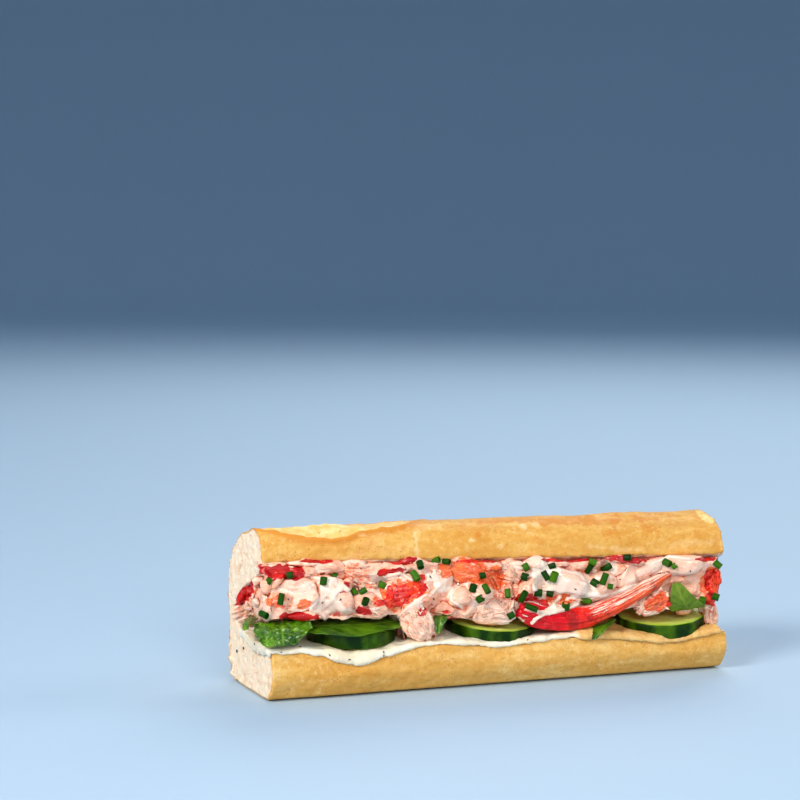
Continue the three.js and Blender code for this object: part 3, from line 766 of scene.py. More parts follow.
def cucumber_slice(name, radius, seed):
    piece = added("cylinder", name, vertices=120, radius=radius * MM, depth=SLICE_THICK * MM)
    with editing(piece, "FACE"):
        for side in (1, -1):
            bpy.ops.mesh.select_all(action="DESELECT")
            shaped = bmesh.from_edit_mesh(piece.data)
            for face in shaped.faces:
                face.select = face.normal.z * side > 0.9
            bmesh.update_edit_mesh(piece.data)
            for width in RINGS:
                bpy.ops.mesh.inset(thickness=width * MM)
        bpy.ops.mesh.select_all(action="SELECT")
        bpy.ops.mesh.quads_convert_to_tris()
        bpy.ops.mesh.tris_convert_to_quads()
    apply_modifier(piece, "BEVEL", width=RIM_BEVEL * MM, segments=2, angle_limit=SHARP_EDGE)
    apply_modifier(piece, "SUBSURF", levels=1, render_levels=1)
    points = places(piece)
    x, y, z = (points / MM).T
    out = np.hypot(x, y) / radius
    around = np.arctan2(y, x)
    ring = np.stack([np.cos(around) * 5, np.sin(around) * 5, np.full_like(z, seed * 9.0)], axis=1)
    ribs = soft_noise(ring, 1.1, seed=seed)
    side = smooth_step(out, 0.93, 0.99)
    flesh = soft_noise(np.stack([x, y, z], axis=1), 4, seed=seed, octaves=2)
    stretch = 1 + side * (0.012 * ribs + 0.006 * np.cos(13 * around))
    points[:, :2] *= stretch[:, None]
    points[:, 2] += (1 - side) * np.sign(z) * (0.16 * flesh + 0.25 * smooth_step(out, 0.5, 0.85)) * MM
    move_to(piece, points)
    store(piece, out=out, ribs=ribs)
    return piece


slices = []
for seed, (node, (across, deep), radius, front, nod, roll) in enumerate(SLICES, start=1):
    piece = cucumber_slice(node.replace("cucumber", "cucumber_slice"), radius - RIB_ROOM, seed)
    lean = math.radians(nod)
    middle = Vector((across, deep, front + radius * math.sin(lean) + SLICE_THICK / 2 * math.cos(lean)))
    leant = Matrix.Rotation(lean, 4, "X") @ Matrix.Rotation(math.radians(roll), 4, "Y")
    spun = Matrix.Rotation(seed * SPIN_STEP, 4, "Z")
    piece.matrix_world = Matrix.Translation((middle + SHIFT) * MM) @ leant @ spun
    choose(piece)
    bpy.ops.object.transform_apply(location=True, rotation=True, scale=True)
    slices.append((piece, node))

# %% Cucumber: material
fresh = Finish(
    "cucumber", Coat_Roughness=0.12, Subsurface_Weight=0.15, Subsurface_Scale=0.003,
    Subsurface_Radius=(0.5, 1.0, 0.3), Specular_IOR_Level=0.12,
)
out = fresh.attribute("out")
stripes = (0.5 + 0.35 * fresh.attribute("ribs") + 0.5 * (fresh.cloud(1.6, 3) - 0.5)).ramp(0.35, 0.95)
skin = stripes.tint((12, 44, 0), (70, 108, 6))
seeds = fresh.cells(2.6).ramp(0.5, 0.2) * out.ramp(0.2, 0.32) * (1 - out.ramp(0.5, 0.64))
color = fresh.cloud(2.2, 3).ramp(0.3, 0.7).tint((214, 228, 96), (232, 240, 140)).painted(
    (0.6 * seeds, (240, 240, 170)),
    (out.ramp(0.82, 0.96) * 0.8, (160, 200, 44)),
    (out.ramp(0.945, 0.985), skin),
)
on_side = out.ramp(0.95, 0.98)
gloss = 0.3 - 0.08 * on_side + 0.12 * fresh.cloud(3)
relief = 0.6 * fresh.cloud(2.4, 3) + 0.4 * fresh.cloud(0.8, 2)
cucumber_finish = fresh.wear(color, gloss, relief, depth=0.3, coat=0.14 - 0.12 * on_side)
for piece, node in slices:
    finished(piece, "cucumber", cucumber_finish, node)

# %% [markdown]
# ## The leaves
#
# A leaf is a thin blade that follows a bent spine. Each starts as a flat grid of small squares, whose
# points are then moved: along the spine, out to the leaf's outline, and up or down for its cup, its
# ripples, its veins and its puckers. Solidify gives it a thickness. The veins are also stored as an
# attribute, because on a real leaf they are paler as well as sunken.

# %% Leaves: shape
BLADE_THICK = 0.4
VEIN_COUNT, VEIN_SLANT, VEIN_WIDTH, VEIN_DEPTH = 7, 1.6, 0.16, 0.18
MIDRIB_WIDTH = 0.55


def on_spine(spine, share):
    """A point of the smooth curve through a few points, from 0 at the first to 1 at the last."""
    last = len(spine) - 1
    i = min(int(share * last), last - 1)
    t = share * last - i
    before, start, end, after = (Vector(spine[min(max(i + k, 0), last)]) for k in (-1, 0, 1, 2))
    if i == 0:
        before = 2 * start - end
    if i == last - 1:
        after = 2 * end - start
    slope_in, slope_out = (end - before) / 2, (after - start) / 2
    a, b = 2 * t**3 - 3 * t**2 + 1, t**3 - 2 * t**2 + t
    return a * start + b * slope_in + (1 - a) * end + (t**3 - t**2) * slope_out


def leaf_blade(
    name, spine, across, width, cup, ripple, ripples, pucker, rows, columns, seed, edge=0.0, point=0.81,
    puckers=(9, 4.5),
):
    """A blade along a spine. Cup, ripple and pucker are heights in mm, and edge is how frilled it is."""
    blade = added("grid", name, x_subdivisions=rows, y_subdivisions=columns, size=2)
    side = Vector(across).normalized()
    flat = places(blade)
    buckle = soft_noise(flat * [*puckers, 1], 1, seed=seed, octaves=2)
    frill = soft_noise(flat * [6, 0.5, 1], 1, seed=seed + 1)
    placed, veins = [], []
    for (a, t, _), bend, fringe in zip(flat.tolist(), buckle.tolist(), frill.tolist()):
        s = (a + 1) / 2
        centre = on_spine(spine, s)
        ahead = (on_spine(spine, min(1, s + 0.01)) - on_spine(spine, max(0, s - 0.01))).normalized()
        up = ahead.cross(side).normalized()
        reach = 0.12 + point * s**0.8
        half = width / 2 * math.sin(math.pi * reach) * (1 + edge * fringe * abs(t) ** 2)
        rib = math.exp(-((t * half / MIDRIB_WIDTH) ** 2))
        branch = abs(((s * VEIN_COUNT - abs(t) * VEIN_SLANT) % 1) - 0.5) * 2
        vein = max(rib, math.exp(-(((1 - branch) / VEIN_WIDTH) ** 2)) * (1 - 0.6 * abs(t)))
        lift = cup * t * t + ripple * abs(t) * math.sin(ripples * math.pi * s + 2 * t)
        lift += pucker * bend * (0.4 + 0.6 * abs(t)) - VEIN_DEPTH * vein
        placed.append((centre + side * t * half + up * lift + SHIFT) * MM)
        veins.append(vein)
    move_to(blade, placed)
    store(blade, vein=veins)
    apply_modifier(blade, "SOLIDIFY", thickness=BLADE_THICK * MM, offset=0)
    apply_modifier(blade, "SUBSURF", levels=1, render_levels=1)
    return blade


BLADES = {
    "leaf_over_cucumber": dict(
        spine=[(-94, -21, 32.2), (-79, -23, 31.8), (-59, -22.5, 31.6), (-38, -20, 31.6)],
        across=(0, -1, -0.2), width=22, cup=0.6, ripple=0.5, ripples=4, pucker=0.3, rows=60, columns=24,
        seed=31,
    ),
    "lettuce_frill": dict(
        spine=[(-101, -14, 34.2), (-103.5, -23, 34.6), (-105.5, -30.5, 32.8), (-106, -33.5, 26.5)],
        across=(1, 0.1, 0.02), width=27, cup=-0.5, ripple=1.0, ripples=5, pucker=1.3, rows=60, columns=60,
        seed=35, edge=0.12, point=0.68, puckers=(5, 5),
    ),
    "leaf_at_left_cut": dict(
        spine=[(-109.5, -4, 34), (-115.5, -9, 34.5), (-119, -14, 31.5)], across=(0.25, 1, 0),
        width=18, cup=0.9, ripple=0.8, ripples=4, pucker=0.7, rows=36, columns=26, seed=39,
        edge=0.15, point=0.72,
    ),
    "leaf_between": dict(
        spine=[(-27, -16, 33), (-29, -26, 34), (-32, -31.5, 32.5), (-33.5, -32.8, 27)], across=(1, 0, 0.15),
        width=8, cup=0.3, ripple=0.4, ripples=3, pucker=0.3, rows=40, columns=14, seed=43, edge=0.2,
    ),
    "leaf_under_cucumber": dict(
        spine=[(53, -24, 25.5), (50, -29, 25.4), (46.5, -32.5, 23.5), (42.5, -34, 19.8)],
        across=(1, -0.3, 0.4), width=11, cup=0.3, ripple=0.3, ripples=3, pucker=0.3, rows=36, columns=16,
        seed=47,
    ),
    "leaf_upright": dict(
        spine=[(92.5, -22.5, 30.6), (92, -30.3, 30.2), (88, -33, 34.5), (84.5, -32.2, 43.4)],
        across=(1, -0.15, 0.12), width=17, cup=0.3, ripple=0.3, ripples=2, pucker=0.15, rows=48, columns=28,
        seed=51,
    ),
}

# %% Leaves: material


def leaf_finish(name, dark, light, vein_color, gloss, wet=0.0):
    green = Finish(
        name, Coat_Weight=wet, Coat_Roughness=0.1, Subsurface_Weight=0.12, Subsurface_Scale=0.002,
        Subsurface_Radius=(0.4, 1.0, 0.2), Specular_IOR_Level=0.3,
    )
    mottle = (0.65 * green.cloud(7, 3) + 0.35 * green.cloud(1.8, 2)).ramp(0.36, 0.64)
    color = (0.45 * green.attribute("vein")).tint(mottle.tint(dark, light), vein_color)
    relief = 0.5 * green.cloud(1.0, 2) + 0.5 * green.cloud(2.6, 2)
    return green.wear(color, gloss + 0.15 * green.cloud(4), relief, depth=0.25)


smooth_leaf = leaf_finish("dark_leaf", (28, 72, 2), (84, 124, 14), (132, 162, 44), 0.24, wet=0.12)
frilled_leaf = leaf_finish("frilled_leaf", (26, 74, 0), (98, 146, 14), (154, 190, 56), 0.16, wet=0.35)
matt_leaf = leaf_finish("upright_leaf", (66, 98, 6), (112, 138, 26), (134, 156, 48), 0.45)
LEAF_FINISHES = {
    "leaf_over_cucumber": smooth_leaf,
    "lettuce_frill": frilled_leaf,
    "leaf_at_left_cut": frilled_leaf,
    "leaf_between": frilled_leaf,
    "leaf_under_cucumber": smooth_leaf,
    "leaf_upright": matt_leaf,
}
for node, shape in BLADES.items():
    finished(leaf_blade(node + "_blade", **shape), "leaf", LEAF_FINISHES[node], node)

# %% [markdown]
# ## The claw meat
#
# The meat of a claw comes out of its shell in one curved piece with a thin tip. Its skin is a deep red
# that turns orange towards the tip, and white flesh shows through in long streaks. The solid's copy is
# subdivided, and its points are moved along their normals to give it long shallow furrows. How far along
# and how far round a point lies, and how high it is between the furrows, let the streaks run lengthwise.

# %% Claw: shape
CLAW_PATH = [(7, 35), (14, 32.5), (26, 30), (39, 29.5), (53, 33.5), (68, 40), (83, 47.6)]
CLAW_MIDDLE_Y = -28.3
CLAW_STEPS = 240  # points along its middle line


def claw_furrows(piece):
    """Stores how far along and how far round the claw each point lies, and presses furrows between."""
    spine = [(x, CLAW_MIDDLE_Y, z) for x, z in CLAW_PATH]
    line = [on_spine(spine, i / CLAW_STEPS) for i in range(CLAW_STEPS + 1)]
    tree = KDTree(len(line))
    for i, p in enumerate(line):
        tree.insert(p, i)
    tree.balance()
    points = places(piece)
    spots = points / MM - np.array(SHIFT)
    along, angle = [], []
    for p in spots.tolist():
        centre, i, _ = tree.find(p)
        ahead = (line[min(i + 1, CLAW_STEPS)] - line[max(i - 1, 0)]).normalized()
        offset = Vector(p) - centre
        along.append(i / CLAW_STEPS)
        angle.append(math.atan2(offset.dot(Vector((-ahead.z, 0, ahead.x))), -offset.y))
    along, angle = np.array(along), np.array(angle)
    lengthwise = np.stack([along * 5, np.cos(angle) * 2.2, np.sin(angle) * 2.2], axis=1)
    furrows = soft_noise(lengthwise * [0.5, 1.3, 1.3], 1, seed=61, octaves=3)
    knobs = soft_noise(spots, 3.5, seed=62)
    push_out(piece, points, 0.55 * furrows + 0.18 * knobs)
    store(piece, along=along, furrows=furrows, angle=angle)


claw = merged_copy("claw_meat", "claw_piece")
apply_modifier(claw, "SUBSURF", levels=3, render_levels=3)
claw_furrows(claw)

# %% Claw: material
shellfish = Finish(
    "claw_skin", Coat_Roughness=0.12, Subsurface_Weight=0.1, Subsurface_Scale=0.001,
    Subsurface_Radius=(1.0, 0.25, 0.15), Specular_IOR_Level=0.25,
)
along, furrows, angle = (shellfish.attribute(name) for name in ("along", "furrows", "angle"))
lengthwise = shellfish.start.node("CombineXYZ", sockets={0: along * 3.0, 1: angle * 2.2, 2: furrows * 0.5})
streaks = shellfish.noise(lengthwise, 2.6, 3.0, 0.6, distortion=0.9)
skin = (along + 0.3 * (shellfish.cloud(5, 2) - 0.5)).colors(
    (0.05, (226, 0, 28)), (0.4, (234, 8, 22)), (0.55, (244, 48, 16)), (0.85, (252, 104, 50))
)
white = (streaks + 0.3 * along.ramp(0.36, 0.62) * angle.ramp(-1.2, 0.3) - 0.8).ramp(-0.02, 0.03)
ragged = 0.6 * (shellfish.cloud(4, 3) - 0.5)
upper_rim = (angle + ragged).ramp(1.3, 1.45) * (1 - 0.6 * along.ramp(0.35, 0.5))
white = (white * along.ramp(0.12, 0.3)).math("MAXIMUM", upper_rim)
color = skin.painted(
    (0.6 * shellfish.cloud(2.6, 4, 0.7).ramp(0.46, 0.62), (128, 0, 12)),
    (0.4 * shellfish.cloud(1.2, 3).ramp(0.58, 0.7), (246, 90, 76)),
    (white, (255, 220, 198)),
)
gloss = 0.22 + 0.15 * shellfish.cloud(2)
relief = 0.6 * streaks + 0.4 * shellfish.cloud(1.2, 2)
claw_finish = shellfish.wear(color, gloss, relief, depth=0.4, coat=0.2 * (1 - white))
finished(claw, "claw", claw_finish, "claw_meat")

# %% [markdown]
# ## The lobster salad
#
# The salad is torn tail and knuckle meat in a cream dressing: large flakes with red skin on one side,
# smaller bits between them, shreds of fibre, and dressing that bridges the gaps. It is built the way it
# is mixed. First comes a core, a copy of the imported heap, so nothing can be seen through. Large pieces
# are pressed into its front one by one, then small ones and shreds. Last, a copy of all of these is
# melted into one skin, and where the dressing is thick that skin is lifted out of the meat.
#
# A place on the front is given as a point of the picture. A sight line from the camera finds where that
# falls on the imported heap, so every piece lies on the heap itself, seen from any side.

# %% Salad: where a sight line meets the heap
HEAP_MIDDLE = Vector((0, -27, 40)) * MM  # how far a sight line goes that misses the heap
RIGHT, UP, BACK = (TURN @ Vector(axis) for axis in ((1, 0, 0), (0, 1, 0), (0, 0, 1)))
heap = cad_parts["lobster_salad"]
heap_mesh = heap.data
heap_tree = tree_of(heap)


def landing(u, v):
    """The point of the heap that shows at a point of the picture, and the surface's normal there."""
    look = sight_line(u, v)
    hit, normal, _, _ = heap_tree.ray_cast(EYE, look)
    if hit is None:
        hit, normal, _, _ = heap_tree.find_nearest(EYE + look * (HEAP_MIDDLE - EYE).length)
    return hit, normal


def resting(u, v, tree):
    """Where a thing that shows at a point of the picture comes to lie on what is there already."""
    hit, normal, _, _ = tree.ray_cast(EYE, sight_line(u, v))
    return landing(u, v) if hit is None else (hit, normal)


print("heap faces:", len(heap_mesh.polygons))

# %% [markdown]
# A torn lump starts as an icosphere. Flat sides are pressed into it, because meat breaks along its
# layers, then it gets its real size. Furrows are pressed along its length, because it is muscle, and
# their width is set in millimetres, so a small bit has as fine a grain as a large one. Each large piece
# is its own lump, and the largest have finer faces. The small ones are copies of a few.

# %% Salad: lumps and shreds
FURROW_WIDTH = 2.3


def with_flats(points, draw, count, spread, cut, share):
    """Presses flat sides into a ball. Spread and cut say how their turn and their depth are drawn."""
    for _ in range(count):
        away = np.array([draw.gauss(0, s) for s in spread])
        away /= np.linalg.norm(away)
        over = np.clip(points @ away - draw.uniform(*cut), 0, None)
        points = points - share * over[:, None] * away
    return points


def torn_lump(name, size, seed, detail, fibre, flats=4):
    """A lump of meat of a size in mm that lies along X; fibre is how deep its furrows are, in mm."""
    lump = added("ico_sphere", name, subdivisions=detail, radius=1)
    draw = random.Random(seed)
    points = with_flats(places(lump), draw, flats, spread=(0.8, 1, 1), cut=(0.55, 0.85), share=0.75)
    ends = smooth_step(np.abs(points[:, 0]), 0.55, 1.0)
    half = np.array(size) / 2
    normals = points / half
    normals /= np.linalg.norm(normals, axis=1)[:, None]
    points = points * half
    shift = np.array([seed * 7.3, seed * 3.1, seed * 5.7]) % 97
    small = min(size)
    bulge = soft_noise(points * [0.7, 1, 1] + shift, 0.9 * small, seed=1) * 0.11 * small
    furrow = np.abs(soft_noise(points * [0.3, 1, 1] + shift, FURROW_WIDTH, seed=2, octaves=3)) * fibre
    knobs = soft_noise(points + shift, 1.6, seed=3) * 0.1
    points = points + normals * (bulge - furrow + knobs)[:, None]
    frayed = ends * soft_noise(points * [0.2, 1, 1] + shift, 1.8, seed=4) * fibre
    points[:, 0] += frayed * np.sign(points[:, 0])
    move_to(lump, points * MM)
    return lump


def shred(name, seed):
    """A flat torn fibre bundle, two units long, with a few dozen faces."""
    draw = random.Random(seed)
    strip = added("grid", name, x_subdivisions=8, y_subdivisions=3, size=2)
    points = places(strip)
    bend, twist = draw.uniform(-0.35, 0.35), draw.uniform(-0.4, 0.4)
    for p in points:
        taper = (1 - 0.9 * abs(p[0]) ** 4) * (0.8 + 0.2 * math.sin(4 * p[0] + seed))
        across = p[1] * taper
        p[0] += 0.12 * math.sin(9 * p[1] + seed) * abs(p[0])
        p[1] = across * math.cos(twist * p[0]) + bend * p[0] ** 2
        p[2] = 0.3 * (1 - p[0] ** 2) + across * math.sin(twist * p[0]) - 0.35 * across**2
    move_to(strip, points)
    apply_modifier(strip, "SOLIDIFY", thickness=0.4, offset=0)
    apply_modifier(strip, "BEVEL", width=0.08, segments=1)
    return strip


def pressed_in(master, name, centre, size, axes, tone):
    """A copy of a master, scaled by a size and turned so that its X, Y and Z follow the given axes."""
    copy = new_piece(name, master.data)
    turn = Matrix(axes).transposed().to_4x4()
    copy.data.transform(Matrix.Translation(centre) @ turn @ Matrix.Diagonal((*size, 1)))
    store(copy, tone=np.full(len(copy.data.vertices), tone))
    return copy


def joined(name, pieces):
    """Makes one piece of several, with the name given."""
    nothing_selected()
    for piece in pieces:
        piece.select_set(True)
    bpy.context.view_layer.objects.active = pieces[0]
    bpy.ops.object.join()
    pieces[0].name = name
    return pieces[0]


def facing(turn, tip=0.0, normal=None):
    """Axes for a piece: X across the picture at a turn, Y away from the eye or into the surface."""
    inward = (-normal if normal else -BACK).normalized()
    across = (RIGHT * math.cos(math.radians(turn)) + UP * math.sin(math.radians(turn))).normalized()
    across = (across - inward * across.dot(inward) + inward * tip).normalized()
    up = across.cross(inward).normalized()
    return [across, up.cross(across).normalized(), up]


# %% [markdown]
# The large pieces are placed one by one, from the picture on the front and by their depth and height at
# the two ends, which the camera hardly sees. Under the upper lip a row of smaller ones closes the front.

# %% Salad: large pieces
LUMP_OVERLAP = 1.1  # how much longer and higher a lump is than what shows of it
LUMP_DEPTH = (0.5, 8)  # a lump's depth: this share of its height and so many pixels more
FINE_FROM = 600  # length times height, in pixels, above which a lump has finer faces
END_LUMP_DEPTH, END_LUMP_SUNK = 5, 1.5  # in mm
TONE_STEP = 0.618  # from one piece's tone to the next, so that neighbours differ
LARGE_PIECES = [
    # place in the picture, length and height in pixels, turn in degrees, how far it stands out and how
    # deep its furrows are, both in mm
    (284, 573, 48, 15, -4, 2.0, 0.15),
    (326, 569, 38, 16, 5, 0.4, 0.3),
    (293, 597, 52, 33, 8, 1.6, 0.6),
    (329, 598, 46, 32, -38, 1.2, 0.3),
    (241, 591, 24, 9, 52, 3.0, 0.2),
    (247, 611, 32, 23, 24, 0.9, 0.9),
    (301, 616, 40, 9, -2, 1.2, 0.2),
    (356, 577, 42, 26, -28, 0.6, 1.3),
    (399, 592, 58, 34, 14, 1.3, 0.5),
    (364, 606, 42, 24, -14, 0.9, 0.6),
    (401, 562, 38, 9, 3, 0.6, 0.3),
    (391, 572, 38, 12, 8, 0.7, 0.4),
    (414, 606, 38, 20, 36, 1.4, 0.3),
    (417, 621, 42, 31, -48, 1.5, 1.2),
    (466, 571, 50, 24, -9, 1.0, 0.4),
    (440, 583, 30, 34, 34, 0.6, 0.4),
    (460, 599, 26, 21, 12, 1.7, 0.2),
    (442, 610, 24, 15, 0, -0.4, 0.8),
    (486, 611, 52, 28, -10, 1.2, 1.1),
    (511, 573, 38, 27, -20, 0.6, 1.1),
    (532, 565, 34, 15, 8, 0.8, 0.6),
    (560, 579, 58, 32, -26, 1.2, 0.3),
    (595, 587, 44, 25, 20, 0.9, 0.3),
    (566, 601, 34, 14, 0, 0.8, 0.9),
    (534, 602, 42, 14, -20, 1.9, 0.3),
    (612, 572, 34, 19, 14, 0.8, 0.5),
    (614, 590, 32, 14, 4, 0.8, 0.4),
    (624, 560, 40, 8, -8, 0.7, 0.2),
    (645, 570, 42, 23, 25, 1.3, 0.3),
    (678, 565, 50, 26, 2, 1.5, 0.3),
    (650, 585, 44, 21, 28, 0.8, 0.6),
    (655, 604, 40, 21, 26, 1.0, 1.2),
    (692, 586, 30, 25, -50, 0.8, 0.6),
    (711, 586, 38, 16, 80, 0.9, 0.4),
    (707, 565, 26, 13, 0, 0.8, 0.3),
    (711, 616, 26, 17, 86, 0.3, 0.8),
    (232, 603, 22, 12, 62, 0.4, 0.8),
    (480, 592, 24, 18, -30, 0.8, 0.7),
    (526, 590, 30, 20, 40, 0.7, 0.5),
    (508, 592, 26, 22, -60, 0.5, 0.8),
    (273, 584, 24, 14, 30, 0.4, 0.5),
    (259, 581, 20, 10, 15, 0.5, 0.3),
    (231, 621, 15, 5, 148, 0.2, 0.4),
    (271, 566, 28, 8, 2, 0.7, 0.3),
    (302, 564, 34, 8, 3, 0.6, 0.3),
    (345, 588, 20, 14, 60, 0.3, 0.7),
    (686, 604, 24, 16, 60, 0.3, 0.7),
]
LIP_ROW = range(280, 690, 33)  # pixels across the picture
LIP_V, LIP_LENGTH, LIP_HEIGHT, LIP_PROUD, LIP_FIBRE = 565, 46, 13, -1.1, 0.7
END_PIECES = [
    # side, depth and height in mm, length and height of the piece in mm, turn in degrees, furrows in mm
    (-1, -14, 44, 18, 9, 20, 0.4),
    (-1, -22, 41, 13, 8, 20, 0.6),
    (-1, -4, 40, 16, 9, 50, 0.4),
    (-1, -13, 39, 14, 6, 5, 0.5),
    (-1, 4, 36, 12, 7, -20, 0.4),
    (1, -14, 46, 18, 9, -15, 0.4),
    (1, -24, 44, 15, 9, 70, 0.5),
    (1, -4, 42, 17, 9, 30, 0.5),
    (1, -16, 37, 17, 8, -5, 0.6),
    (1, 4, 38, 13, 7, 15, 0.4),
]

for u in LIP_ROW:
    v, turn = LIP_V + (u * 5) % 4, (u * 7) % 23 - 11
    LARGE_PIECES.append((u, v, LIP_LENGTH, LIP_HEIGHT, turn, LIP_PROUD, LIP_FIBRE))
large = []


def add_large(seed, size, detail, fibre, centre, axes):
    master = torn_lump("master", size, seed, detail, fibre)
    large.append(pressed_in(master, "large", centre, (1, 1, 1), axes, (seed * TONE_STEP) % 1))
    discard(master)


for seed, (u, v, length, height, turn, proud, fibre) in enumerate(LARGE_PIECES, start=1):
    hit, _ = landing(u, v)
    shown = [LUMP_OVERLAP * length, LUMP_DEPTH[0] * height + LUMP_DEPTH[1], LUMP_OVERLAP * height]
    size = [pixels * PIXEL / MM for pixels in shown]
    centre = hit - BACK * (size[1] / 2 - proud) * MM
    add_large(seed, size, 5 if length * height > FINE_FROM else 4, fibre, centre, facing(turn))
for seed, (side, deep, high, length, height, turn, fibre) in enumerate(END_PIECES, start=201):
    hit, normal, _, _ = heap_tree.ray_cast(Vector((side * 200, deep, high)) * MM, Vector((-side, 0, 0)))
    if hit is None:
        hit, normal, _, _ = heap_tree.find_nearest(Vector((side * 100, deep, high)) * MM)
    centre = hit - normal * END_LUMP_SUNK * MM
    add_large(seed, [length, END_LUMP_DEPTH, height], 4, fibre, centre, facing(turn, 0, normal))
flakes = joined("lobster_flakes", large)
print("large pieces:", len(LARGE_PIECES) + len(END_PIECES))

# %% [markdown]
# The smaller bits are scattered by a seeded draw over the heap's ends and the top of its front: a face is
# picked in proportion to its area, and a copy of one of the masters is laid on it at a random turn.
# Shreds of fibre lie where the meat is frayed. On the front those places are named; elsewhere they are
# drawn as well.

# %% Salad: small bits and shreds
BIT_COUNT, SHRED_COUNT = 100, 50
BIT_SIZE = (7, 4.4, 5)
COVERED = 8 * MM  # a spot with a large piece over it, within this, takes no bit
OPEN_FRONT, OPEN_BACK, OPEN_TOP, LEDGE_FRONT = -22, 14, 52, -18  # bits lie within these, in mm
FRAYED_PLACES = [
    # centre and half sizes in pixels, the fibres' turn in degrees, how many
    (356, 577, 18, 12, -30, 22),
    (416, 622, 14, 12, -60, 26),
    (655, 603, 20, 11, 30, 26),
    (486, 610, 24, 7, 50, 18),
    (508, 575, 16, 13, -25, 20),
    (506, 598, 14, 14, 70, 16),
    (690, 590, 12, 14, -50, 14),
    (711, 614, 6, 12, 80, 10),
    (243, 612, 14, 9, 25, 18),
    (575, 600, 18, 5, 5, 12),
    (281, 603, 14, 7, 15, 10),
    (366, 610, 16, 8, -15, 12),
]


def is_open(face):
    """Whether a face of the heap takes bits: one at an end, or on a ledge of the front."""
    _, y, z = face.center / MM
    if not (OPEN_FRONT < y < OPEN_BACK and z < OPEN_TOP):
        return False
    across, away, up = face.normal
    ledge = (away < -0.15 or abs(across) > 0.6) and up > 0 and y > LEDGE_FRONT
    return abs(across) > 0.7 or ledge


def open_spots(count, seed):
    """Points spread evenly over the open faces of the heap, and the normals there."""
    draw = random.Random(seed)
    tops = [p for p in heap_mesh.polygons if is_open(p)]
    found = []
    for p in draw.choices(tops, weights=[p.area for p in tops], k=count):
        corners = [heap_mesh.vertices[i].co for i in p.vertices]
        a, b = sorted((draw.random(), draw.random()))
        found.append((corners[0] * a + corners[1] * (b - a) + corners[2] * (1 - b), p.normal.copy()))
    return found


draw = random.Random(5)
masters = [torn_lump("bit", BIT_SIZE, 60 + k, 4, fibre=0.5, flats=7) for k in range(8)]
flake_tree = tree_of(flakes)
bits = []
for spot, normal in open_spots(BIT_COUNT, 11):
    if flake_tree.ray_cast(spot + COVERED * normal, -normal, COVERED)[0] is not None:
        continue
    size = [draw.uniform(0.5, 1.4), draw.uniform(0.7, 1.2), draw.uniform(0.5, 1.3)]
    centre = spot - normal * size[1] * draw.uniform(0.3, 1.6) * MM
    axes = facing(draw.uniform(-90, 90), draw.uniform(-0.2, 0.2), normal)
    bits.append(pressed_in(draw.choice(masters), "bit", centre, size, axes, draw.random()))
small = joined("lobster_bits", bits)
discard(*masters)

masters = [shred("strip", 400 + k) for k in range(9)]
lying = [(spot, normal, draw.uniform(-90, 90)) for spot, normal in open_spots(SHRED_COUNT, 12)]
lump_tree = tree_of(flakes, small)
for u, v, wide, high, turn, count in FRAYED_PLACES:
    for _ in range(count):
        reach, side = math.sqrt(draw.random()), draw.uniform(0, 2 * math.pi)
        spot = resting(u + wide * reach * math.cos(side), v + high * reach * math.sin(side), lump_tree)
        lying.append((*spot, turn + draw.gauss(0, 22)))
strips = []
for spot, normal, turn in lying:
    length = draw.uniform(2.5, 6.5) * MM
    size = [length / 2, length * draw.uniform(0.07, 0.15), draw.uniform(0.5, 0.9) * MM]
    across, inward, up = facing(turn, draw.uniform(-0.08, 0.15), normal)
    centre = spot + normal * draw.uniform(-0.1, 0.3) * MM
    axes = [across, up, -inward]
    strips.append(pressed_in(draw.choice(masters), "strip", centre, size, axes, draw.random()))
shreds = joined("lobster_shreds", strips)
discard(*masters)
print("bits and shreds:", len(bits), len(lying))

core = merged_copy("lobster_salad", "salad_core")
apply_modifier(core, "REMESH", mode="VOXEL", voxel_size=1.0 * MM)
apply_modifier(core, "SMOOTH", factor=0.5, iterations=2)
points = places(core)
push_out(core, points, -1.3 + 0.6 * soft_noise(points / MM, 5, seed=71, octaves=3))
store(core, tone=0.5 + 0.5 * soft_noise(points / MM, 9, seed=72))
meat_pieces = (core, flakes, small, shreds)

# %% [markdown]
# Colour comes in areas that cross from piece to piece, so it is painted on the whole salad at once.
# Each area is an ellipse with a ragged rim, and a point's share of red or orange is kept as an
# attribute. Away from the front and the left end, broad noise takes over.

# %% Salad: red and orange areas
RED_AREAS = [
    # centre, half width and height in pixels, turn in degrees, strength
    (284, 573, 25, 8, -4, 1.0),
    (242, 592, 13, 9, 50, 2.0),
    (533, 602, 19, 7, -20, 1.0),
    (318, 561, 22, 2.5, 0, 0.7),
    (480, 561, 26, 2.5, 0, 0.7),
    (570, 560, 26, 2.5, 0, 0.7),
    (704, 559, 10, 3, 0, 0.7),
    (340, 614, 8, 3, 0, 0.4),
    (301, 617, 21, 4, 0, 0.9),
    (401, 561, 19, 4, 2, 1.0),
    (404, 592, 21, 11, 24, 1.0),
    (384, 602, 10, 4, 10, 0.5),
    (362, 610, 13, 5, -10, 0.55),
    (390, 572, 17, 4, 8, 0.7),
    (345, 588, 8, 6, 0, 0.55),
    (422, 611, 7, 5, 30, 0.5),
    (447, 612, 8, 3, 0, 0.5),
    (624, 559, 21, 4, -8, 0.95),
    (712, 587, 10, 21, -8, 0.8),
    (650, 603, 12, 5, 30, 0.35),
    (672, 600, 8, 5, 40, 0.6),
    (600, 558, 8, 4, 0, 0.4),
]
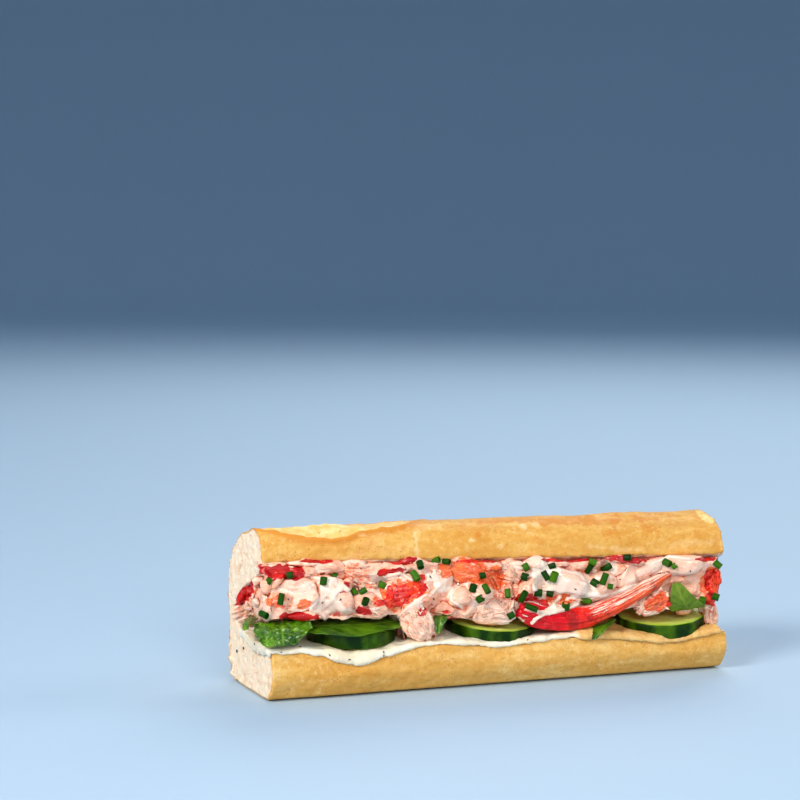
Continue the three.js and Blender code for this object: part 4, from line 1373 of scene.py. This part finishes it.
ORANGE_AREAS = [
    (466, 571, 27, 12, -9, 1.0),
    (494, 578, 14, 12, -30, 0.6),
    (276, 600, 12, 5, 12, 0.8),
    (305, 604, 8, 5, 20, 0.8),
    (283, 607, 10, 3, 0, 0.5),
    (246, 611, 11, 7, 20, 0.35),
    (357, 577, 19, 12, -28, 0.4),
    (404, 593, 26, 15, 20, 1.0),
    (418, 622, 12, 9, -40, 0.3),
    (560, 600, 16, 6, 0, 0.6),
    (505, 590, 12, 10, 0, 0.4),
    (658, 603, 16, 9, 30, 0.75),
    (712, 587, 11, 21, -8, 1.2),
]
PAINT_FADES, LEFT_END = (-20, -8), (94, 100)  # over y and over -x, in mm

for piece in meat_pieces:
    points = places(piece)
    seen = picture_places(points)
    front = 1 - smooth_step(points[:, 1] / MM, *PAINT_FADES)
    front = np.maximum(front, smooth_step(-points[:, 0] / MM, *LEFT_END))
    elsewhere = soft_noise(points / MM, 11, seed=81, octaves=2)
    red = patches(seen, RED_AREAS, 82) * front + smooth_step(elsewhere, 0.55, 0.85) * (1 - front)
    orange = patches(seen, ORANGE_AREAS, 83) * front
    orange += smooth_step(-elsewhere, 0.4, 0.8) * 0.6 * (1 - front)
    store(piece, red=red, orange=orange)

# %% [markdown]
# The gaps between pieces of meat hold juice and little light, so they are painted orange to deep red:
# partly the juice's colour, partly painted shade. Rays sent out from each point of the salad show how
# closed in it is: the share that hits something nearby is kept as one more attribute.

# %% Salad: how closed in each point is
RAY_COUNT = 28
RAY_START, RAY_REACH = 0.2, 4.5  # how far off the surface rays start, and how far they go, in mm
RAY_SLOPE = 0.3  # how far forward a ray has to point, as the cosine of its angle to the normal
GOLDEN_ANGLE = math.pi * (3 - math.sqrt(5))
RAYS = []
for k in range(RAY_COUNT):
    height = 1 - (2 * k + 1) / RAY_COUNT
    across, turn = math.sqrt(1 - height**2), k * GOLDEN_ANGLE
    RAYS.append(Vector((across * math.cos(turn), across * math.sin(turn), height)))


def closed_in(piece, tree):
    """For each point, the share of the rays ahead of its normal that hit something within their reach."""
    normals = outward(piece)
    starts = places(piece) + RAY_START * MM * normals
    ahead = normals @ np.array(RAYS).T > RAY_SLOPE
    shares = []
    for start, wanted in zip(starts.tolist(), ahead):
        rays = np.flatnonzero(wanted)
        start = Vector(start)
        hits = sum(tree.ray_cast(start, RAYS[k], RAY_REACH * MM)[0] is not None for k in rays)
        shares.append(hits / max(1, len(rays)))
    return shares


surroundings = tree_of(core, flakes, small, bread, *(piece for piece, _ in slices))
for piece in meat_pieces:
    store(piece, closed=closed_in(piece, surroundings))
print("rays per point:", RAY_COUNT)

# %% Salad: material
meat = Finish(
    "lobster_meat", Coat_Roughness=0.15, Subsurface_Weight=0.3, Subsurface_Scale=0.002,
    Subsurface_Radius=(1.0, 0.4, 0.25), Specular_IOR_Level=0.3,
)
tone, closed = meat.attribute("tone"), meat.attribute("closed")
fibres = meat.noise(meat.stretched((1, 1, 2.6), (0, 25, 0)), 420.0, 3.0)
grain = meat.cells(1.3).ramp(0.15, 0.5)
beads = grain * meat.attribute("orange")
speckle = meat.cloud(0.9, 2)
orange_mask = (meat.attribute("orange") - 0.8 * (fibres - 0.4)).ramp(0.15, 0.5)
orange = (0.7 * meat.cloud(2.4, 3) + 0.3 * grain).ramp(0.4, 0.75).tint((248, 116, 30), (234, 74, 12))
flesh = (0.45 * tone + 0.55 * meat.cloud(5, 3)).colors(
    (0.3, (241, 172, 138)), (0.5, (250, 195, 166)), (0.7, (253, 212, 188))
)
flesh = flesh.painted(
    (0.45 * fibres.ramp(0.5, 0.66), (254, 223, 204)),
    (meat.cloud(3.2, 4, 0.7).ramp(0.54, 0.66) * 0.5, (238, 128, 84)),
    # Painted shade and juice: the gaps are painted orange, the deepest of them deep red.
    (closed.ramp(0.24, 0.62) * 0.75, (230, 98, 54)),
    (closed.ramp(0.55, 0.85) * 0.92, (112, 18, 8)),
    (orange_mask * 0.92, (fibres.ramp(0.52, 0.68) * 0.5).tint(orange, (255, 176, 112))),
)
red_mask = (meat.attribute("red") - 0.6 * (meat.cloud(1.5, 3, 0.6) - 0.35)).ramp(0.2, 0.4)
red = (0.75 * meat.cloud(2.6, 3, 0.6) + 0.15 + 0.2 * (speckle - beads)).colors(
    (0.3, (248, 88, 40)), (0.45, (232, 34, 14)), (0.65, (176, 2, 6))
)
red = red.painted(
    (speckle.ramp(0.64, 0.7) * 0.6, (255, 176, 150)),
    # Painted shade in the gaps on the red skin.
    (closed.ramp(0.45, 0.95) * 0.6, (120, 0, 4)),
)
gloss = 0.28 + 0.2 * meat.cloud(3)
relief = 0.45 * fibres + 0.3 * meat.cloud(1.1, 3) + 0.35 * beads
wet = (0.25 + 0.35 * meat.cloud(6).ramp(0.4, 0.6)) * (1 - 0.5 * red_mask)
meat_finish = meat.wear(red_mask.tint(flesh, red), gloss, relief, depth=0.5, coat=wet)
for piece in meat_pieces:
    finished(piece, "lobster", meat_finish, "lobster_salad")

# %% [markdown]
# ## The dressing
#
# A cream dressing coats part of the meat, fills the gaps between pieces and lies over them in smooth
# wet folds. Its skin is made from the meat: copies of the core, the pieces and the claw are joined and
# remeshed into one surface, which is smoothed until it bridges the gaps. Where the dressing is thick the
# surface is lifted out of the meat, and elsewhere it sinks below it, so its edges run along the pieces.

# %% Dressing: shape
DRESSING_FACE = 0.8  # side of a face of the remeshed skin, in mm
BEHIND = -4  # the y, in mm, behind which the meat is cut off for the skin
DRESSING_FADES = (-17, -9)  # over y, in mm
SUNK, COAT, FOLD_HEIGHT = 1.5, 1.9, 0.8  # how far the skin sinks, and what the dressing adds, in mm
DRESSED_AREAS = [
    # centre, half width and height in pixels, turn in degrees, strength
    (330, 590, 14, 12, -50, 1.0),
    (291, 590, 20, 7, 8, 0.75),
    (329, 607, 22, 11, -15, 1.0),
    (345, 613, 18, 4, 0, 0.8),
    (325, 569, 14, 4, 0, 0.8),
    (384, 579, 12, 3, 10, 0.8),
    (416, 607, 15, 6, 38, 0.95),
    (437, 582, 10, 14, 20, 0.9),
    (453, 592, 12, 7, 0, 0.7),
    (482, 603, 12, 5, 0, 0.5),
    (520, 617, 14, 4, 0, 0.8),
    (549, 578, 20, 12, -20, 0.95),
    (568, 584, 26, 11, -10, 1.0),
    (590, 592, 24, 6, 10, 0.9),
    (604, 574, 16, 8, 10, 0.85),
    (556, 609, 15, 4, 8, 0.85),
    (640, 567, 18, 5, 8, 0.6),
    (676, 565, 20, 5, 8, 0.6),
    (634, 590, 14, 5, 0, 0.65),
    (697, 588, 6, 7, 0, 0.5),
]
# Where the dressing lies in ridges: paths through points of the picture.
DRESSING_FOLDS = [
    [(342, 586), (331, 601), (318, 611), (325, 619)],
    [(322, 580), (321, 610)],
    [(312, 578), (338, 580), (348, 590)],
    [(398, 617), (410, 606), (426, 595)],
    [(384, 577), (400, 573), (412, 580)],
    [(430, 596), (440, 584), (434, 570)],
    [(452, 588), (451, 600), (462, 607)],
    [(533, 590), (552, 589), (575, 592), (601, 596)],
    [(509, 603), (514, 618), (527, 627)],
    [(532, 623), (537, 618), (545, 614), (556, 612), (566, 609), (578, 604)],
    [(526, 608), (536, 611), (546, 612)],
    [(556, 612), (553, 604), (560, 597)],
    [(560, 570), (580, 575), (594, 588)],
    [(603, 596), (622, 590), (636, 584)],
    [(652, 564), (670, 557), (690, 559)],
]
FOLD_WIDTH = 2.6
skins = [new_piece("layer", piece.data) for piece in (core, flakes, small, claw)]
dressing = joined("lobster_dressing", skins)
with editing(dressing):
    bpy.ops.mesh.bisect(plane_co=(0, BEHIND * MM, 0), plane_no=(0, 1, 0), clear_outer=True, use_fill=True)
apply_modifier(dressing, "REMESH", mode="VOXEL", voxel_size=DRESSING_FACE * MM)
apply_modifier(dressing, "SMOOTH", factor=0.5, iterations=16)
points = places(dressing)
seen = picture_places(points)
front = 1 - smooth_step(points[:, 1] / MM, *DRESSING_FADES)
folds = np.zeros(len(points))
for path in DRESSING_FOLDS:
    for start, end in zip(path, path[1:]):
        start, step = np.array(start), np.subtract(end, start)
        share = np.clip((seen - start) @ step / (step @ step), 0, 1)
        away = np.linalg.norm(seen - start - share[:, None] * step, axis=1)
        folds = np.maximum(folds, bump(away, 0, FOLD_WIDTH))
folds *= front
cover = np.maximum(patches(seen, DRESSED_AREAS, 91, ragged=0.5) * front, 0.9 * folds)
uneven = 0.35 * cover * soft_noise(points / MM, 5, seed=92, octaves=2)
thick = -SUNK + COAT * cover + FOLD_HEIGHT * folds + uneven
push_out(dressing, points, thick)
store(dressing, cover=cover)
with editing(dressing):
    pick(dressing, "vertices", cover < 0.02)
    bpy.ops.mesh.delete(type="VERT")
store(dressing, closed=closed_in(dressing, surroundings))
print("dressing faces:", len(dressing.data.polygons))

# %% Dressing: material
cream = Finish(
    "cream_dressing", Coat_Weight=0.35, Coat_Roughness=0.08, Subsurface_Weight=0.2, Subsurface_Scale=0.002,
    Subsurface_Radius=(1.0, 0.8, 0.6),
)
color = cream.cloud(6, 3).ramp(0.35, 0.65).tint((249, 214, 193), (254, 233, 212)).painted(
    (0.9 * (1 - cream.attribute("cover").ramp(0.5, 1.0)), (247, 197, 172)),
    # Painted shade and juice: the dressing in the gaps is painted orange-brown.
    (0.8 * cream.attribute("closed").ramp(0.35, 0.85), (226, 146, 104)),
)
dressing_finish = cream.wear(color, 0.2 + 0.12 * cream.cloud(4), cream.cloud(2.5, 2), depth=0.25)
finished(dressing, "lobster", dressing_finish, "lobster_salad")

# %% [markdown]
# ## Chives, pepper and crumbs
#
# Chives are cut across into short hollow tubes, dark green outside and paler where they are cut. One
# tube is modelled: a cylinder whose ends are inset and pushed in. Each place gets its own copy, turned
# its own way, because they fall as they like.

# %% Chives: shape
CHIVE_WIDTH = 3.1 * MM
CHIVES = [
    # place in the picture, length in mm, turn in degrees, how far an end looks at the eye
    (269, 582, 3.2, 60, 0.3),
    (281, 599, 5.0, 80, 0.2),
    (265, 614, 4.6, 0, 0.3),
    (290, 575, 2.6, 10, 0.2),
    (323, 581, 3.4, 85, 0.4),
    (334, 576, 2.6, -20, 0.2),
    (354, 593, 3.6, -75, 0.4),
    (363, 592, 3.6, 30, 0.3),
    (365, 601, 3.2, 80, 0.4),
    (382, 585, 2.6, 70, 0.2),
    (415, 576, 5.0, -60, 0.5),
    (420, 565, 3.6, -80, 0.5),
    (436, 561, 3.4, 10, 0.7),
    (446, 562, 3.6, -20, 0.7),
    (473, 588, 3.4, 75, 0.4),
    (486, 589, 4.6, -70, 0.4),
    (480, 598, 2.8, 40, 0.3),
    (482, 575, 2.8, 15, 0.2),
    (508, 593, 4.0, -80, 0.4),
    (525, 576, 3.0, -10, 0.3),
    (525, 567, 2.8, 30, 0.3),
    (523, 596, 5.4, 65, 0.3),
    (537, 592, 3.8, 0, 0.5),
    (549, 594, 3.0, -15, 0.6),
    (552, 566, 3.0, 20, 0.3),
    (545, 575, 4.6, -60, 0.4),
    (554, 577, 4.4, 70, 0.5),
    (531, 608, 6.0, -25, 0.4),
    (511, 615, 3.0, -60, 0.3),
    (566, 606, 3.4, 85, 0.4),
    (586, 600, 4.8, 10, 0.4),
    (594, 583, 3.4, -35, 0.4),
    (604, 579, 5.4, 70, 0.4),
    (606, 568, 4.8, 30, 0.5),
    (589, 568, 5.2, 70, 0.4),
    (592, 562, 3.4, -20, 0.4),
    (627, 558, 3.0, 0, 0.5),
    (610, 586, 2.6, -5, 0.2),
    (667, 563, 3.6, -30, 0.4),
    (701, 601, 3.8, 80, 0.4),
    (715, 596, 3.2, -15, 0.4),
    (717, 564, 3.8, -40, 0.5),
    (307, 645, 2.4, 20, 0.3),
    (674, 566, 2.2, 40, 0.3),
]
tube = added("cylinder", "tube", vertices=14, radius=0.5, depth=1, rotation=(0, math.pi / 2, 0))
bpy.ops.object.transform_apply(location=False, rotation=True, scale=False)
with editing(tube, "FACE"):
    pick(tube, "polygons", [abs(face.normal.x) > 0.9 for face in tube.data.polygons])
    bpy.ops.mesh.inset(thickness=0.1, use_individual=True)
    bpy.ops.mesh.inset(thickness=0.03, depth=-0.3, use_individual=True)
apply_modifier(tube, "BEVEL", width=0.025, segments=2, limit_method="ANGLE", angle_limit=math.radians(40))
print("chive faces:", len(tube.data.polygons))

draw = random.Random(8)
salad_tree = tree_of(core, flakes, small, dressing)
pieces = []
for u, v, length, turn, tip in CHIVES:
    hit, normal = resting(u, v, salad_tree)
    soft_normal = (normal + landing(u, v)[1] + BACK).normalized()
    width = CHIVE_WIDTH * draw.uniform(0.85, 1.2)
    axes = facing(turn, -tip * draw.choice((0.8, 1, 1.2)), soft_normal)
    centre = hit + soft_normal * 0.3 * width
    size = [length * MM, width * draw.uniform(0.8, 1.0), width]
    pieces.append(pressed_in(tube, "cut_chive", centre, size, axes, draw.random()))
chives = joined("chives", pieces)
discard(tube)

# %% Chives: material
chive = Finish(
    "chive_green", Roughness=0.42, Subsurface_Weight=0.1, Subsurface_Scale=0.001, Specular_IOR_Level=0.12
)
color = (0.7 * chive.attribute("tone") + 0.3 * chive.cloud(1)).colors(
    (0.1, (6, 40, 0)), (0.5, (26, 74, 2)), (0.9, (70, 118, 14))
)
chive_finish = chive.wear(color, relief=chive.cloud(0.6, 2), depth=0.15)
finished(chives, "lobster", chive_finish, "lobster_salad")

# %% [markdown]
# Black pepper is ground coarse, so each grain is a small block with broken faces. Crumbs of crust and
# dough fall where the loaf is cut. Both are icospheres with flat sides pressed into them, copied many
# times, and each copy rests on the surface beneath it.

# %% Pepper and crumbs
PEPPER = [(255, 644), (245, 648), (281, 652), (329, 655), (384, 653), (322, 602), (341, 600), (288, 600),
          (384, 655), (458, 586), (431, 577), (513, 583), (532, 636), (535, 634), (434, 599), (708, 625),
          (262, 641), (238, 650), (300, 646), (350, 660), (527, 641), (690, 571), (575, 590), (620, 580)]
CRUMBS = [
    # where the loaf was cut and where its lips are torn: place in the picture, width in mm
    (236, 678, 1.6), (240, 683, 2.0), (245, 687, 1.3), (234, 672, 1.1), (251, 692, 1.5), (258, 698, 1.1),
    (262, 702, 1.4), (232, 660, 1.0), (231, 646, 1.2), (235, 690, 1.2), (271, 659, 1.3), (275, 662, 1.0),
    (724, 633, 1.1), (729, 636, 1.4), (690, 640, 1.0), (300, 530, 1.1), (318, 533, 1.4), (340, 531, 1.0),
    (280, 527, 1.2), (266, 526, 1.0), (722, 549, 1.3), (723, 556, 1.0), (430, 640, 1.1), (404, 652, 0.9),
    (560, 640, 0.9),
]


def ground_grain(name, seed, squash):
    grain = added("ico_sphere", name, subdivisions=2, radius=1)
    draw = random.Random(seed)
    points = with_flats(places(grain), draw, 5, spread=(1, 1, 1), cut=(0.3, 0.6), share=1)
    move_to(grain, points * [1, 1, squash])
    return grain


table_tree = tree_of(core, flakes, small, dressing, spread, bread)
draw = random.Random(9)
master = ground_grain("grain", 21, 0.8)
grains = []
for u, v in PEPPER:
    hit, normal = resting(u + draw.uniform(-1, 1), v + draw.uniform(-1, 1), table_tree)
    width = draw.uniform(1.0, 1.7) * MM
    axes = facing(draw.uniform(-90, 90), 0, normal)
    size = [0.5 * width, 0.35 * width, 0.35 * width]
    grains.append(pressed_in(master, "grain", hit + normal * 0.1 * width, size, axes, 0))
pepper = joined("ground_pepper", grains)
discard(master)
dark = Finish("ground_pepper", Roughness=0.6)
color = dark.cloud(0.4, 2).tint((38, 30, 26), (86, 66, 50))
finished(pepper, "mayonnaise", dark.wear(color, relief=dark.cloud(0.2), depth=0.1), "spread")

masters = [ground_grain("crumb", 30 + k, 0.7) for k in range(4)]
fallen = []
for u, v, width in CRUMBS:
    hit, normal = resting(u, v, table_tree)
    axes = facing(draw.uniform(-90, 90), 0, normal)
    size = [0.6 * width * MM, 0.45 * width * MM, 0.5 * width * MM]
    centre = hit + normal * 0.1 * width * MM
    fallen.append(pressed_in(draw.choice(masters), "crumb", centre, size, axes, draw.random()))
crumbs = joined("bread_crumbs", fallen)
discard(*masters)
dry = Finish("dry_crumb", Roughness=0.85, Specular_IOR_Level=0.2)
color = dry.attribute("tone").colors((0.3, (238, 200, 140)), (0.6, (226, 174, 98)), (0.9, (200, 136, 62)))
finished(crumbs, "crust", dry.wear(color, relief=dry.cloud(0.5, 2), depth=0.2), "bread")
